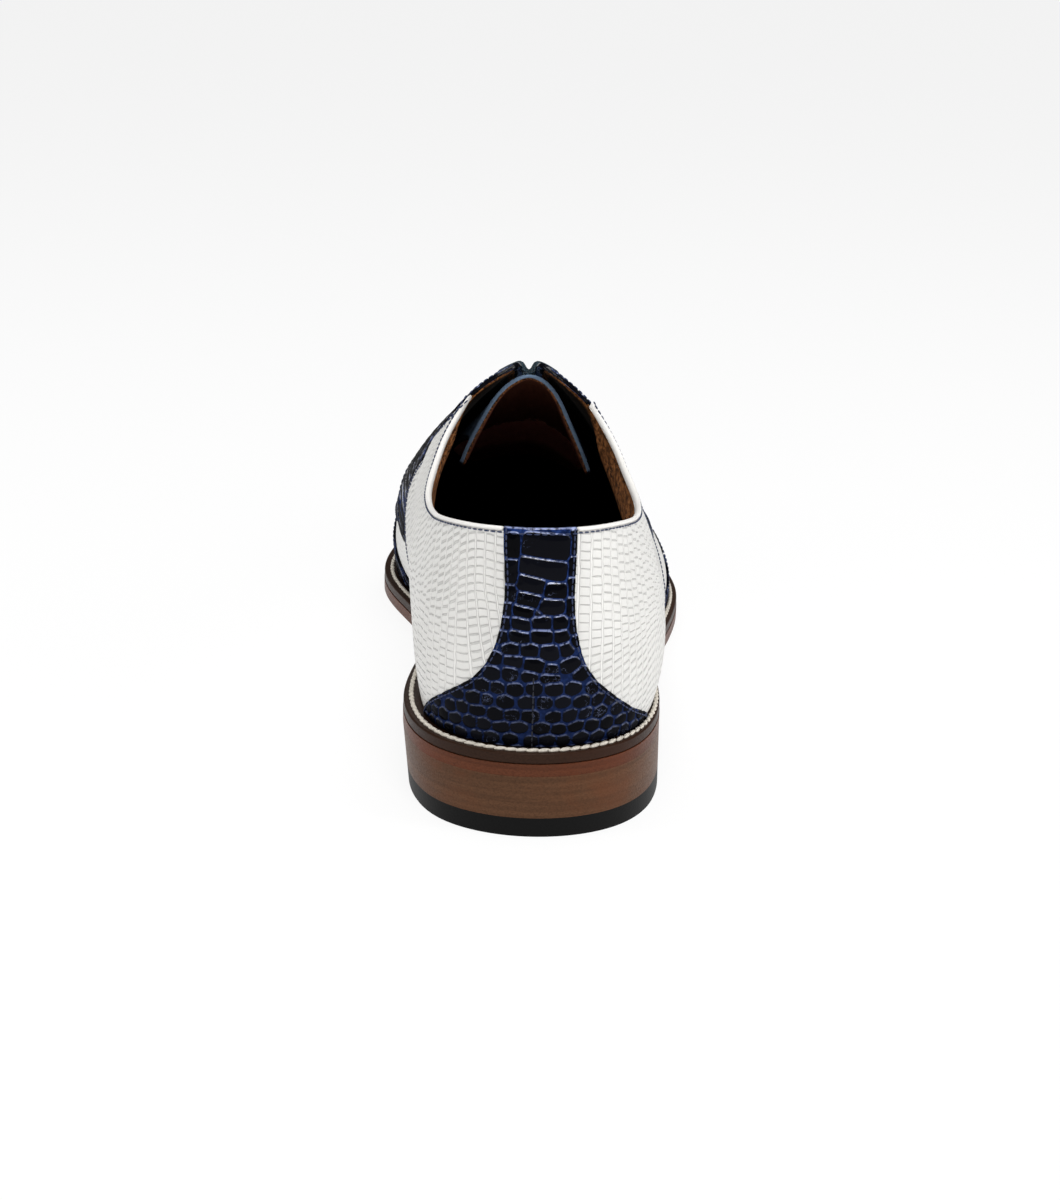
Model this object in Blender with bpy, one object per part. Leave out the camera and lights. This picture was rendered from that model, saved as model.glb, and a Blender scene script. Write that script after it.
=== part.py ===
"""Right-foot bicycle-toe oxford: a lasted two-tone upper on a welted leather sole with a stacked heel.

The shoe stands on its heel and forefoot with the floor at Z = 0, the toe along +Y and the outer
(lateral) side of the foot along +X. Sizes are in millimetres and become metres as meshes are made.
The origin is on the floor under the middle of the shoe's box.
"""

import bmesh
import bpy
import numpy as np

MM = 0.001

# Sole layers at the heel, bottom to top
TOP_LIFT = 5.6
HEEL_BASE = 12.5
OUTSOLE = 3.6
WELT = 3.2
HEEL_STACK = TOP_LIFT + HEEL_BASE
SOLE_EDGE = OUTSOLE + WELT

# Run of the sole from heel to toe
SOLE_LENGTH = 304.0
HEEL_BREAST_Y = 69.0
BREAST_HOLLOW = 5.0
SHANK_END_Y = 170.0
TREAD_END_Y = 212.0
TOE_SPRING = 10.0
HEEL_TAPER = 0.9

# Leather and fit
GAP = 0.3
UPPER_WALL = 2.0
INSOLE_RISE = 3.0
OVERLAY_GAP = 0.65
OVERLAY = 1.0
STRIP = 0.8
STRIP_GAP = 0.9
BINDING = 0.6
BINDING_DEPTH = 3.2
TONGUE = 1.8

# Lacing: five straight bars through punched eyelets
LACE = 2.2
EYELET = 4.0
EYELET_INSET = 8.0
EYELET_STATIONS = (6.2, 6.54, 6.88, 7.22, 7.56)

# Mesh density
RIBS_PER_STATION = 3
FACING_RIBS_PER_STATION = 5
RIB_LEVELS = 9
EYESTAY_LEVELS = 9
HEM_LEVELS = 3
VAMP_LEVELS = 7
STRIP_LEVELS = 4
STRIP_TURNS = 4
STRIP_DROPS = 5
HEEL_RUNGS = 10
COUNTER_COLUMN_COUNT = 11
BACK_EDGE_COLUMNS = 7
BINDING_LEVELS = 2
TONGUE_ROW_COUNT = 10
TONGUE_COLUMN_COUNT = 6
EYELET_SIDES = 10
RIB_SAMPLES = 201
SHARP_ANGLE = 40

# One row for each station from the back of the heel to the tip of the toe.
# edge: the sole's outline. rim: the upper's top line, which is the collar, then the facing,
# then the ridge of the vamp; tilt lifts it on the medial side and drops it on the lateral one.
# aim: the way the wall swells, in degrees round from the toe. low and high: how far each rib of
# the last swells out and runs up from the sole, and swells out and drops down from the rim.
STATION_COLUMNS = (
    "name", "edge_y", "edge_lateral", "edge_medial", "welt_lateral", "welt_medial",
    "rim_y", "rim_half", "rim_mid", "rim_z", "rim_tilt", "aim",
    "low_out_lateral", "low_up_lateral", "high_out_lateral", "high_down_lateral",
    "low_out_medial", "low_up_medial", "high_out_medial", "high_down_medial",
)
STATIONS = (
    ("heel_back", 0.0, 0.0, 0.0, 5.2, 5.2, 8.0, 0.0, 0.0, 87.0, 0.0, 180,
     5.5, 18, 2.5, 24, 5.5, 18, 2.5, 24),
    ("heel_corner", 11.5, 25.9, 25.9, 4.4, 4.6, 14.5, 18.0, 0.0, 86.4, 0.0, 130,
     6.0, 18, 2.5, 24, 5.5, 18, 2.5, 24),
    ("heel_side", 40.0, 36.5, 36.0, 3.0, 3.8, 38.0, 28.5, 0.0, 82.2, 0.0, 93,
     7.5, 19, 5.0, 22, 5.0, 18, 4.0, 22),
    ("seat_front", 72.0, 37.5, 34.5, 2.4, 3.2, 64.0, 30.5, 0.0, 80.0, 0.5, 88,
     10.0, 20, 7.5, 20, 8.0, 19, 7.0, 20),
    ("waist", 103.0, 39.0, 30.5, 2.4, 3.0, 88.0, 26.0, 0.0, 87.0, 1.0, 90,
     8.5, 21, 10.0, 18, 12.0, 22, 14.0, 17),
    ("collar_rise", 124.0, 41.0, 29.8, 2.6, 3.0, 103.0, 16.5, -1.0, 99.0, 1.0, 90,
     7.5, 22, 17.0, 14, 17.0, 27, 20.0, 12),
    ("facing_top", 146.0, 43.8, 31.2, 3.0, 3.4, 111.0, 2.0, -1.8, 108.5, 0.0, 90,
     6.5, 22, 25.0, 3, 21.0, 31, 30.0, 5),
    ("facing_mid", 168.0, 48.4, 35.5, 3.4, 4.0, 142.0, 1.4, -1.8, 91.0, 0.0, 90,
     5.5, 21, 26.0, 2, 18.0, 31, 41.0, 3),
    ("throat", 189.0, 52.3, 42.5, 3.6, 4.2, 172.0, 0.0, -1.5, 73.0, 0.0, 90,
     4.0, 20, 26.5, 0, 12.0, 29, 45.0, 0),
    ("joint", 211.0, 53.4, 49.2, 3.8, 4.4, 196.0, 0.0, -1.5, 62.5, 0.0, 88,
     4.0, 19, 30.0, 0, 5.5, 25, 42.0, 0),
    ("joint_front", 236.0, 49.5, 50.5, 4.4, 4.8, 219.0, 0.0, -2.0, 56.0, 0.0, 82,
     2.5, 16, 28.0, 0, 3.5, 20, 36.0, 0),
    ("toe_side", 264.5, 39.3, 42.7, 5.2, 5.4, 241.0, 0.0, -2.5, 51.5, 0.0, 68,
     2.0, 14, 23.0, 0, 2.5, 16, 28.0, 0),
    ("toe_corner", 290.5, 22.0, 27.5, 5.8, 5.8, 259.0, 0.0, -3.0, 47.0, 0.0, 40,
     1.5, 13, 19.0, 0, 1.5, 14, 21.0, 0),
    ("toe_tip", 304.0, -4.0, 4.0, 6.0, 6.0, 268.0, 0.0, -3.3, 44.0, 0.0, 0,
     1.0, 13, 17.0, 0, 1.0, 13, 17.0, 0),
)
LAST_STATION = len(STATIONS) - 1
THROAT = [row[0] for row in STATIONS].index("throat")
FACING_STATIONS = 3
HEEL_STATIONS = 2.9
CLOSEST_RIBS = 0.04

# Half width of the heel counter in stations, from the sole up to the strap's top.
COUNTER_COLUMNS = ("rise", "lateral", "medial")
COUNTER = (
    (0.03, 1.64, 1.64),
    (0.085, 1.42, 1.50),
    (0.145, 1.19, 1.32),
    (0.215, 0.98, 1.08),
    (0.285, 0.80, 0.84),
    (0.345, 0.67, 0.66),
    (0.43, 0.56, 0.52),
    (0.52, 0.505, 0.44),
    (0.615, 0.48, 0.40),
    (0.72, 0.49, 0.39),
    (0.83, 0.53, 0.42),
    (0.92, 0.565, 0.46),
    (1.0, 0.585, 0.48),
)

# Lower edge of each eyestay from the collar to its lowest tip and up to the throat.
EYESTAY_COLUMNS = ("station", "lower")
EYESTAY = (
    (5.25, 0.955),
    (5.6, 0.80),
    (6.0, 0.665),
    (6.35, 0.585),
    (6.65, 0.485),
    (6.85, 0.405),
    (7.0, 0.345),
    (7.2, 0.455),
    (7.45, 0.615),
    (7.75, 0.86),
)

# The toe panel: its hem along the sole, the window that leaves the white side panel bare,
# and its back edge in front of the eyestay.
TOE_COLUMNS = ("station", "window_low", "window_high", "back_edge")
TOE = (
    (7.08, 0.045, 0.310, 0.335),
    (7.3, 0.055, 0.318, 0.475),
    (7.6, 0.068, 0.332, 0.685),
    (8.0, 0.095, 0.355, 1.0),
    (8.5, 0.150, 0.385, 1.0),
    (9.0, 0.235, 0.415, 1.0),
    (9.5, 0.345, 0.445, 1.0),
    (10.0, 0.470, 0.470, 1.0),
    (13.0, 0.470, 0.470, 1.0),
)
PANEL_HEM = 0.03

# Half width, seen from above, of the strip between the two toe seams. Past the toe corner it
# keeps its width and runs down to the sole.
STRIP_COLUMNS = ("station", "half_width")
STRIP_ROWS = (
    (8.2, 14.0),
    (9.0, 12.0),
    (10.0, 10.8),
    (11.0, 10.4),
    (12.0, 11.0),
)

# Half width of the tongue down each side, and how far it lies under the upper's outer face.
TONGUE_COLUMNS = ("station", "half_width")
TONGUE_ROWS = (
    (6.0, 36.0),
    (7.0, 30.0),
    (8.0, 24.0),
    (8.7, 19.0),
)
TONGUE_DEPTH = 2.6
TONGUE_FALL = 0.055


def column(name, columns=STATION_COLUMNS, rows=STATIONS):
    """One named column of a table."""
    index = columns.index(name)
    return np.array([row[index] for row in rows], float)


def around(lateral, medial):
    """A column's values once round the shoe: up the lateral side and back down the medial one."""
    return np.concatenate([lateral, medial[-2:0:-1]])


def closed_spline(values):
    """A smooth closed curve through evenly numbered values, called with a place in that count."""
    values = np.asarray(values, float)
    count = len(values)
    system = 4 * np.eye(count) + np.roll(np.eye(count), 1, 0) + np.roll(np.eye(count), -1, 0)
    bend = np.linalg.solve(system, 6 * (np.roll(values, -1) - 2 * values + np.roll(values, 1)))

    def at(place):
        place = np.asarray(place, float) % count
        low = np.floor(place).astype(int) % count
        high = (low + 1) % count
        far = place - np.floor(place)
        near = 1 - far
        curve = (near**3 - near) * bend[low] + (far**3 - far) * bend[high]
        return near * values[low] + far * values[high] + curve / 6

    return at


def steady_curve(knots, values):
    """A smooth curve through knots that never swings past their values."""
    knots = np.asarray(knots, float)
    values = np.asarray(values, float)
    width = np.diff(knots)
    grade = np.diff(values) / width
    product = grade[:-1] * grade[1:]
    total = np.where(product > 0, grade[:-1] + grade[1:], 1.0)
    inner = np.where(product > 0, 2 * product / total, 0.0)
    slope = np.concatenate([grade[:1], inner, grade[-1:]])

    def at(place):
        place = np.clip(np.asarray(place, float), knots[0], knots[-1])
        low = np.clip(np.searchsorted(knots, place, side="right") - 1, 0, len(width) - 1)
        far = (place - knots[low]) / width[low]
        near = 1 - far
        ends = values[low] * (1 + 2 * far) * near**2 + values[low + 1] * (1 + 2 * near) * far**2
        return ends + width[low] * far * near * (slope[low] * near - slope[low + 1] * far)

    return at


def smooth_step(value):
    value = np.clip(value, 0, 1)
    return value * value * (3 - 2 * value)


EDGE_X = closed_spline(around(column("edge_lateral"), -column("edge_medial")))
EDGE_Y = closed_spline(around(column("edge_y"), column("edge_y")))
WELT_WIDTH = closed_spline(around(column("welt_lateral"), column("welt_medial")))
RIM_Y = closed_spline(around(column("rim_y"), column("rim_y")))
RIM_Z = closed_spline(around(column("rim_z"), column("rim_z")))
RIM_MID = closed_spline(around(column("rim_mid"), column("rim_mid")))
RIM_HALF = steady_curve(np.arange(len(STATIONS)), column("rim_half"))
RIM_TILT = steady_curve(np.arange(len(STATIONS)), column("rim_tilt"))
AIM = steady_curve(np.arange(len(STATIONS)), column("aim"))
LOW_OUT = closed_spline(around(column("low_out_lateral"), column("low_out_medial")))
LOW_UP = closed_spline(around(column("low_up_lateral"), column("low_up_medial")))
HIGH_OUT = closed_spline(around(column("high_out_lateral"), column("high_out_medial")))
HIGH_DOWN = closed_spline(around(column("high_down_lateral"), column("high_down_medial")))


def sole_rise(y):
    """Height of the outsole's underside: on the heel, down the shank, flat, then the toe spring."""
    shank = 1 - smooth_step((y - HEEL_BREAST_Y) / (SHANK_END_Y - HEEL_BREAST_Y))
    spring = np.clip((y - TREAD_END_Y) / (SOLE_LENGTH - TREAD_END_Y), 0, None) ** 2
    return HEEL_STACK * shank + TOE_SPRING * spring


def edge_point(station, inset=0.0):
    """The sole's outline at signed stations, lateral above zero, drawn in by an inset."""
    station = np.asarray(station, float)
    step = 0.01
    x, y = EDGE_X(station), EDGE_Y(station)
    along = np.stack([EDGE_X(station + step) - EDGE_X(station - step),
                      EDGE_Y(station + step) - EDGE_Y(station - step)], -1)
    along /= np.linalg.norm(along, axis=-1, keepdims=True)
    return np.stack([x - inset * along[..., 1], y + inset * along[..., 0]], -1)


def ridge_slope(place):
    """Fall of the vamp's ridge towards the toe, for stations past the throat."""
    place = np.minimum(place, LAST_STATION - 0.5)
    step = 0.02
    return (RIM_Z(place + step) - RIM_Z(place - step)) / (RIM_Y(place + step) - RIM_Y(place - step))


def last_point(station, rise):
    """A point on the upper's outer face: signed station round the shoe, rise 0 at sole to 1 at rim."""
    station, rise = np.broadcast_arrays(np.asarray(station, float), np.asarray(rise, float))
    place = np.abs(station)
    side = np.where(station < 0, -1.0, 1.0)
    aim = np.radians(AIM(place))
    out = np.stack([side * np.sin(aim), np.cos(aim), np.zeros_like(aim)], -1)
    up = np.array([0.0, 0.0, 1.0])

    foot = edge_point(station, WELT_WIDTH(station))
    foot_z = sole_rise(foot[..., 1]) + SOLE_EDGE + GAP
    start = np.concatenate([foot, foot_z[..., None]], -1)
    rim_z = RIM_Z(station) - side * RIM_TILT(place)
    rim = np.stack([RIM_MID(station) + side * RIM_HALF(place), RIM_Y(station), rim_z], -1)

    on_vamp = place > THROAT
    fall = np.where(on_vamp, -ridge_slope(np.maximum(place, THROAT)) * np.cos(aim), 0.0)
    drop = HIGH_DOWN(station) + fall * HIGH_OUT(station)
    low = start + out * LOW_OUT(station)[..., None] + up * LOW_UP(station)[..., None]
    high = rim + out * HIGH_OUT(station)[..., None] - up * drop[..., None]
    far = rise[..., None]
    near = 1 - far
    return near**3 * start + 3 * near**2 * far * low + 3 * near * far**2 * high + far**3 * rim


def last_normal(station, rise):
    """The way out of the upper's outer face at a station and rise."""
    station, rise = np.broadcast_arrays(np.asarray(station, float), np.asarray(rise, float))
    step = 0.01
    inner = np.clip(rise, step, 1 - step)
    along = last_point(station + step, inner) - last_point(station - step, inner)
    upward = last_point(station, inner + step) - last_point(station, inner - step)
    out = np.cross(along, upward)
    slope = ridge_slope(np.clip(np.abs(station), THROAT, None))
    crest = np.stack([np.zeros_like(slope), -slope, np.ones_like(slope)], -1)
    on_crest = (np.abs(station) >= THROAT) & (rise > 1 - 1e-6)
    out = np.where(on_crest[..., None], crest, out)
    return out / np.linalg.norm(out, axis=-1, keepdims=True)


def raised_point(station, rise, height):
    """A point above the upper's outer face, or under it where the height is below zero."""
    return last_point(station, rise) + last_normal(station, rise) * np.asarray(height)[..., None]


def rise_below_rim(station, distance):
    """The rise that lies a distance down the rib from the rim."""
    rises = np.linspace(1, 0, RIB_SAMPLES)
    rib = last_point(np.full(rises.shape, float(station)), rises)
    run = np.concatenate([[0.0], np.cumsum(np.linalg.norm(np.diff(rib, axis=0), axis=1))])
    return float(np.interp(distance, run, rises))


def centre_line():
    """Middle of the sole's outline, which the origin sits under."""
    x = EDGE_X(np.linspace(0, 2 * LAST_STATION, 40 * LAST_STATION))
    return np.array([(x.max() + x.min()) / 2, SOLE_LENGTH / 2, 0.0])


CENTRE = centre_line()


def ribs_between(first, last):
    """Stations of the upper's ribs from one station to another, closer along the facing."""
    collar = THROAT - FACING_STATIONS
    spans = ((0, collar, RIBS_PER_STATION), (collar, THROAT, FACING_RIBS_PER_STATION),
             (THROAT, LAST_STATION, RIBS_PER_STATION))
    ribs = np.concatenate([np.arange(start * count, end * count) / count for start, end, count in spans])
    inside = ribs[(ribs > first + CLOSEST_RIBS) & (ribs < last - CLOSEST_RIBS)]
    return np.concatenate([[first], inside, [last]])


def in_metres(points):
    """Millimetres in the shoe's own layout to metres about the origin."""
    return (np.asarray(points, float).reshape(-1, 3) - CENTRE) * MM


def new_object(name, shape, material):
    mesh = bpy.data.meshes.new(name)
    shape.to_mesh(mesh)
    shape.free()
    mesh.shade_smooth()
    mesh.set_sharp_from_angle(angle=np.radians(SHARP_ANGLE))
    mesh.materials.append(material)
    obj = bpy.data.objects.new(name, mesh)
    bpy.context.scene.collection.objects.link(obj)
    return obj


def add_grid(shape, points, flip=False):
    """Faces over a grid of points, facing out where rows run round the shoe and columns run up."""
    rows, columns = points.shape[:2]
    vertices = [shape.verts.new(place) for place in in_metres(points)]
    for row in range(rows - 1):
        for step in range(columns - 1):
            first = row * columns + step
            corners = [first, first + columns, first + columns + 1, first + 1]
            if flip:
                corners.reverse()
            shape.faces.new([vertices[corner] for corner in corners])


def close_seams(shape):
    """Join the points that neighbouring grids share."""
    bmesh.ops.remove_doubles(shape, verts=shape.verts, dist=0.002 * MM)


def sheet(name, grids, material):
    shape = bmesh.new()
    for grid in grids:
        add_grid(shape, grid)
    close_seams(shape)
    return new_object(name, shape, material)


def thicken(obj, thickness, outward, lift=0.0):
    """Give a sheet a real thickness, lifted off the face under it."""
    if lift:
        raise_up = obj.modifiers.new("lift", "DISPLACE")
        raise_up.direction = "NORMAL"
        raise_up.mid_level = 0.0
        raise_up.strength = lift * MM
    solid = obj.modifiers.new("wall", "SOLIDIFY")
    solid.thickness = thickness * MM
    solid.offset = 1.0 if outward else -1.0
    solid.use_quality_normals = True
    return obj


def slab(name, low, high, material):
    """A plate between two matching grids whose rows are rungs from medial to lateral."""
    shape = bmesh.new()
    add_grid(shape, high, flip=True)
    add_grid(shape, low)
    for rim_low, rim_high in ((low[:, -1], high[:, -1]), (low[::-1, 0], high[::-1, 0]),
                              (low[-1, ::-1], high[-1, ::-1]), (low[0], high[0])):
        add_grid(shape, np.stack([rim_low, rim_high], 1))
    close_seams(shape)
    return new_object(name, shape, material)


def rungs(stations, inset, height, hollow=0.0):
    """Rungs across the sole's outline, with the last ones bowed back by a hollow."""
    lateral = edge_point(stations, inset(stations))
    medial = edge_point(-stations, inset(-stations))
    across = np.linspace(0, 1, 5 if hollow else 3)
    plan = medial[:, None] + (lateral - medial)[:, None] * across[None, :, None]
    bow = hollow * (1 - (2 * across - 1) ** 2)
    plan[..., 1] -= bow * np.linspace(0, 1, len(stations))[:, None] ** 3
    return np.concatenate([plan, height(plan[..., 1])[..., None]], -1)


def new_material(name, colour, roughness, metallic=0.0):
    material = bpy.data.materials.new(name)
    material.use_nodes = True
    shader = material.node_tree.nodes["Principled BSDF"]
    shader.inputs["Base Color"].default_value = (*colour, 1.0)
    shader.inputs["Roughness"].default_value = roughness
    shader.inputs["Metallic"].default_value = metallic
    return material


def build_heel(lift_material, base_material):
    stations = np.linspace(0, HEEL_STATIONS, HEEL_RUNGS)

    def level(z):
        return lambda y: np.full(y.shape, z)

    def drawn_in(z):
        return lambda station: np.full(station.shape, HEEL_TAPER * (1 - z / HEEL_STACK))

    for name, low, high, material in (
        ("heel_top_lift", 0.0, TOP_LIFT - GAP, lift_material),
        ("heel_base", TOP_LIFT, HEEL_STACK - GAP, base_material),
    ):
        slab(name, rungs(stations, drawn_in(low), level(low), BREAST_HOLLOW),
             rungs(stations, drawn_in(high), level(high), BREAST_HOLLOW), material)


def build_outsole(material):
    stations = np.linspace(0, LAST_STATION, RIBS_PER_STATION * LAST_STATION + 1)

    def no_inset(station):
        return np.zeros(station.shape)

    slab("outsole", rungs(stations, no_inset, sole_rise),
         rungs(stations, no_inset, lambda y: sole_rise(y) + OUTSOLE - GAP), material)


def build_insole(material):
    stations = np.linspace(0, LAST_STATION, RIBS_PER_STATION * LAST_STATION + 1)

    def inset(station):
        return WELT_WIDTH(station) + UPPER_WALL + 2 * GAP

    slab("insole", rungs(stations, inset, lambda y: sole_rise(y) + OUTSOLE),
         rungs(stations, inset, lambda y: sole_rise(y) + SOLE_EDGE + INSOLE_RISE), material)


def build_welt(material):
    stations = np.linspace(0, 2 * LAST_STATION, 2 * RIBS_PER_STATION * LAST_STATION + 1)
    outer = edge_point(stations)
    inner = edge_point(stations, WELT_WIDTH(stations) + UPPER_WALL)

    def corner(plan, height):
        return np.concatenate([plan, (sole_rise(plan[:, 1]) + height)[:, None]], -1)

    section = [corner(inner, OUTSOLE), corner(outer, OUTSOLE), corner(outer, SOLE_EDGE),
               corner(inner, SOLE_EDGE), corner(inner, OUTSOLE)]
    sheet("welt", [np.stack(section, 1)], material)


def eyelet_places():
    """Signed station and rise of each eyelet, in pairs from the top of the facing down."""
    for station in EYELET_STATIONS:
        yield tuple((side * station, rise_below_rim(side * station, EYELET_INSET)) for side in (1, -1))


def build_eyelet_cutter():
    """Punches that pass through the eyestays and the wall under them."""
    shape = bmesh.new()
    for pair in eyelet_places():
        for station, rise in pair:
            out = last_normal(station, rise)
            side = np.cross(out, [0.0, 1.0, 0.0])
            side /= np.linalg.norm(side)
            ahead = np.cross(out, side)
            turn = np.linspace(0, 2 * np.pi, EYELET_SIDES, endpoint=False)
            ring = EYELET / 2 * (np.cos(turn)[:, None] * side + np.sin(turn)[:, None] * ahead)
            reach = UPPER_WALL + 2 * OVERLAY
            middle = last_point(station, rise)
            ends = []
            for height in (-reach, reach):
                ends.append([shape.verts.new(place) for place in in_metres(middle + ring + out * height)])
            low, high = ends
            for index in range(len(turn)):
                after = (index + 1) % len(turn)
                shape.faces.new((low[index], low[after], high[after], high[index]))
            shape.faces.new(low[::-1])
            shape.faces.new(high)
    bmesh.ops.recalc_face_normals(shape, faces=shape.faces)
    cutter = new_object("eyelet_punch", shape, bpy.data.materials.new("punch"))
    cutter.hide_render = True
    cutter.display_type = "WIRE"
    return cutter


def punch(obj, cutter):
    cut = obj.modifiers.new("eyelets", "BOOLEAN")
    cut.operation = "DIFFERENCE"
    cut.solver = "EXACT"
    cut.object = cutter


def build_upper(material, cutter):
    half = ribs_between(0, LAST_STATION)
    stations = np.concatenate([-half[:0:-1], half])
    rises = np.linspace(0, 1, RIB_LEVELS + 1)
    upper = sheet("upper", [last_point(stations[:, None], rises[None])], material)
    thicken(upper, UPPER_WALL, outward=False)
    punch(upper, cutter)


def build_counter(material):
    rises = column("rise", COUNTER_COLUMNS, COUNTER)
    across = np.linspace(-1, 1, COUNTER_COLUMN_COUNT)
    spans = np.where(across[:, None] < 0, column("medial", COUNTER_COLUMNS, COUNTER)[None],
                     column("lateral", COUNTER_COLUMNS, COUNTER)[None])
    counter = sheet("heel_counter", [last_point(across[:, None] * spans, rises[None])], material)
    thicken(counter, OVERLAY, outward=True, lift=OVERLAY_GAP)


def side_grid(side, stations, low, high, levels):
    """A grid between two lines of rises on one side of the shoe."""
    share = np.linspace(0, 1, levels + 1)
    rises = low[:, None] + (high - low)[:, None] * share[None]
    order = slice(None) if side > 0 else slice(None, None, -1)
    return last_point(side * stations[order][:, None], rises[order])


def build_eyestay(name, side, material, cutter):
    knots = column("station", EYESTAY_COLUMNS, EYESTAY)
    lows = column("lower", EYESTAY_COLUMNS, EYESTAY)
    lower = steady_curve(knots, lows)
    tip = knots[lows.argmin()]
    back_edge = np.linspace(tip, knots[-1], BACK_EDGE_COLUMNS)
    stations = np.concatenate([ribs_between(knots[0], tip), back_edge[1:]])
    rim = np.ones(stations.shape)
    eyestay = sheet(name, [side_grid(side, stations, lower(stations), rim, EYESTAY_LEVELS)], material)
    thicken(eyestay, OVERLAY, outward=True, lift=OVERLAY_GAP)
    punch(eyestay, cutter)


def build_toe_panel(material):
    knots = column("station", TOE_COLUMNS, TOE)
    low = steady_curve(knots, column("window_low", TOE_COLUMNS, TOE))
    high = steady_curve(knots, column("window_high", TOE_COLUMNS, TOE))
    back = steady_curve(knots, column("back_edge", TOE_COLUMNS, TOE))
    back_edge = np.linspace(knots[0], THROAT, BACK_EDGE_COLUMNS + 1)
    stations = np.concatenate([back_edge, ribs_between(THROAT, LAST_STATION)[1:]])
    hem = np.full(stations.shape, PANEL_HEM)
    grids = []
    for side in (1, -1):
        grids.append(side_grid(side, stations, hem, low(stations), HEM_LEVELS))
        grids.append(side_grid(side, stations, high(stations), back(stations), VAMP_LEVELS))
    panel = sheet("toe_panel", grids, material)
    thicken(panel, OVERLAY, outward=True, lift=OVERLAY_GAP)


def rise_at_width(station, half):
    """The rise where a rib has come out from the ridge by a half width, seen from above."""
    rises = np.linspace(1, 0, RIB_SAMPLES)
    out = np.abs(last_point(np.full(rises.shape, float(station)), rises)[:, 0] - RIM_MID(station))
    return float(np.interp(half, np.maximum.accumulate(out), rises))


def station_at_width(side, rise, half, first):
    """The station past the toe corner where the toe is a half width from its middle, at one rise."""
    stations = np.linspace(LAST_STATION, first, RIB_SAMPLES)
    middle = RIM_MID(LAST_STATION)
    out = np.abs(last_point(side * stations, np.full(stations.shape, rise))[:, 0] - middle)
    return float(np.interp(half, np.maximum.accumulate(out), stations))


def build_toe_strip(material):
    knots = column("station", STRIP_COLUMNS, STRIP_ROWS)
    half = steady_curve(knots, column("half_width", STRIP_COLUMNS, STRIP_ROWS))
    corner = knots[-1]
    along = ribs_between(knots[0], corner)
    turn = np.linspace(corner, LAST_STATION, STRIP_TURNS + 1)
    corner_low = np.mean([rise_at_width(side * corner, half(corner)) for side in (1, -1)])
    rises = np.linspace(PANEL_HEM, corner_low, STRIP_DROPS + 1)
    grids = []
    for side in (1, -1):
        low = np.array([rise_at_width(side * place, half(place)) for place in along])
        low[-1] = corner_low
        grids.append(side_grid(side, along, low, np.ones(along.shape), STRIP_LEVELS))
        turn_low = np.full(turn.shape, corner_low)
        grids.append(side_grid(side, turn, turn_low, np.ones(turn.shape), STRIP_LEVELS))
        reach = np.array([station_at_width(side, rise, half(corner), corner) for rise in rises])
        reach[-1] = corner
        share = np.linspace(0, 1, STRIP_TURNS + 1)
        stations = reach[None] + (LAST_STATION - reach)[None] * share[:, None]
        order = slice(None) if side > 0 else slice(None, None, -1)
        grids.append(last_point(side * stations[order], np.broadcast_to(rises, stations.shape)))
    strip = sheet("toe_strip", grids, material)
    thicken(strip, STRIP, outward=True, lift=OVERLAY_GAP + OVERLAY + STRIP_GAP)


def build_binding(name, side, material):
    spans = column("lateral" if side > 0 else "medial", COUNTER_COLUMNS, COUNTER)
    stations = ribs_between(spans[-1] + 0.05, EYESTAY[0][0] - 0.03)
    low = np.array([rise_below_rim(side * place, BINDING_DEPTH) for place in stations])
    binding = sheet(name, [side_grid(side, stations, low, np.ones(stations.shape), BINDING_LEVELS)], material)
    thicken(binding, BINDING, outward=True, lift=OVERLAY_GAP)


def build_tongue(material):
    knots = column("station", TONGUE_COLUMNS, TONGUE_ROWS)
    half = steady_curve(knots, column("half_width", TONGUE_COLUMNS, TONGUE_ROWS))
    stations = np.linspace(knots[0], knots[-1], TONGUE_ROW_COUNT)
    rows = []
    for place in stations:
        distances = np.linspace(half(place), 0, TONGUE_COLUMN_COUNT)
        depth = TONGUE_DEPTH + TONGUE_FALL * distances
        sides = []
        for side in (1, -1):
            rises = np.array([rise_below_rim(side * place, distance) for distance in distances])
            sides.append(raised_point(np.full(rises.shape, side * place), rises, -depth))
        rows.append(np.concatenate([sides[0], sides[1][::-1]]))
    tongue = sheet("tongue", [np.array(rows)], material)
    thicken(tongue, TONGUE, outward=False)


def build_laces(material):
    """Bars that rise out of one eyelet, cross the facing and go down into the other."""
    over = OVERLAY_GAP + OVERLAY + 2 * GAP + LACE / 2
    for number, pair in enumerate(eyelet_places(), 1):
        route = []
        for station, rise in pair:
            route.append([
                raised_point(station, rise, -UPPER_WALL / 2),
                raised_point(station, rise, OVERLAY_GAP),
                raised_point(station, rise + 0.08 * (1 - rise), over * 0.95),
                raised_point(station, rise + 0.6 * (1 - rise), over),
            ])
        points = route[0] + route[1][::-1]
        curve = bpy.data.curves.new("lace_bar_%d" % number, "CURVE")
        curve.dimensions = "3D"
        curve.bevel_depth = LACE / 2 * MM
        curve.bevel_resolution = 2
        curve.use_fill_caps = True
        spline = curve.splines.new("POLY")
        spline.points.add(len(points) - 1)
        for point, place in zip(spline.points, in_metres(points)):
            point.co = (*place, 1.0)
        curve.materials.append(material)
        obj = bpy.data.objects.new(curve.name, curve)
        bpy.context.scene.collection.objects.link(obj)


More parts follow.
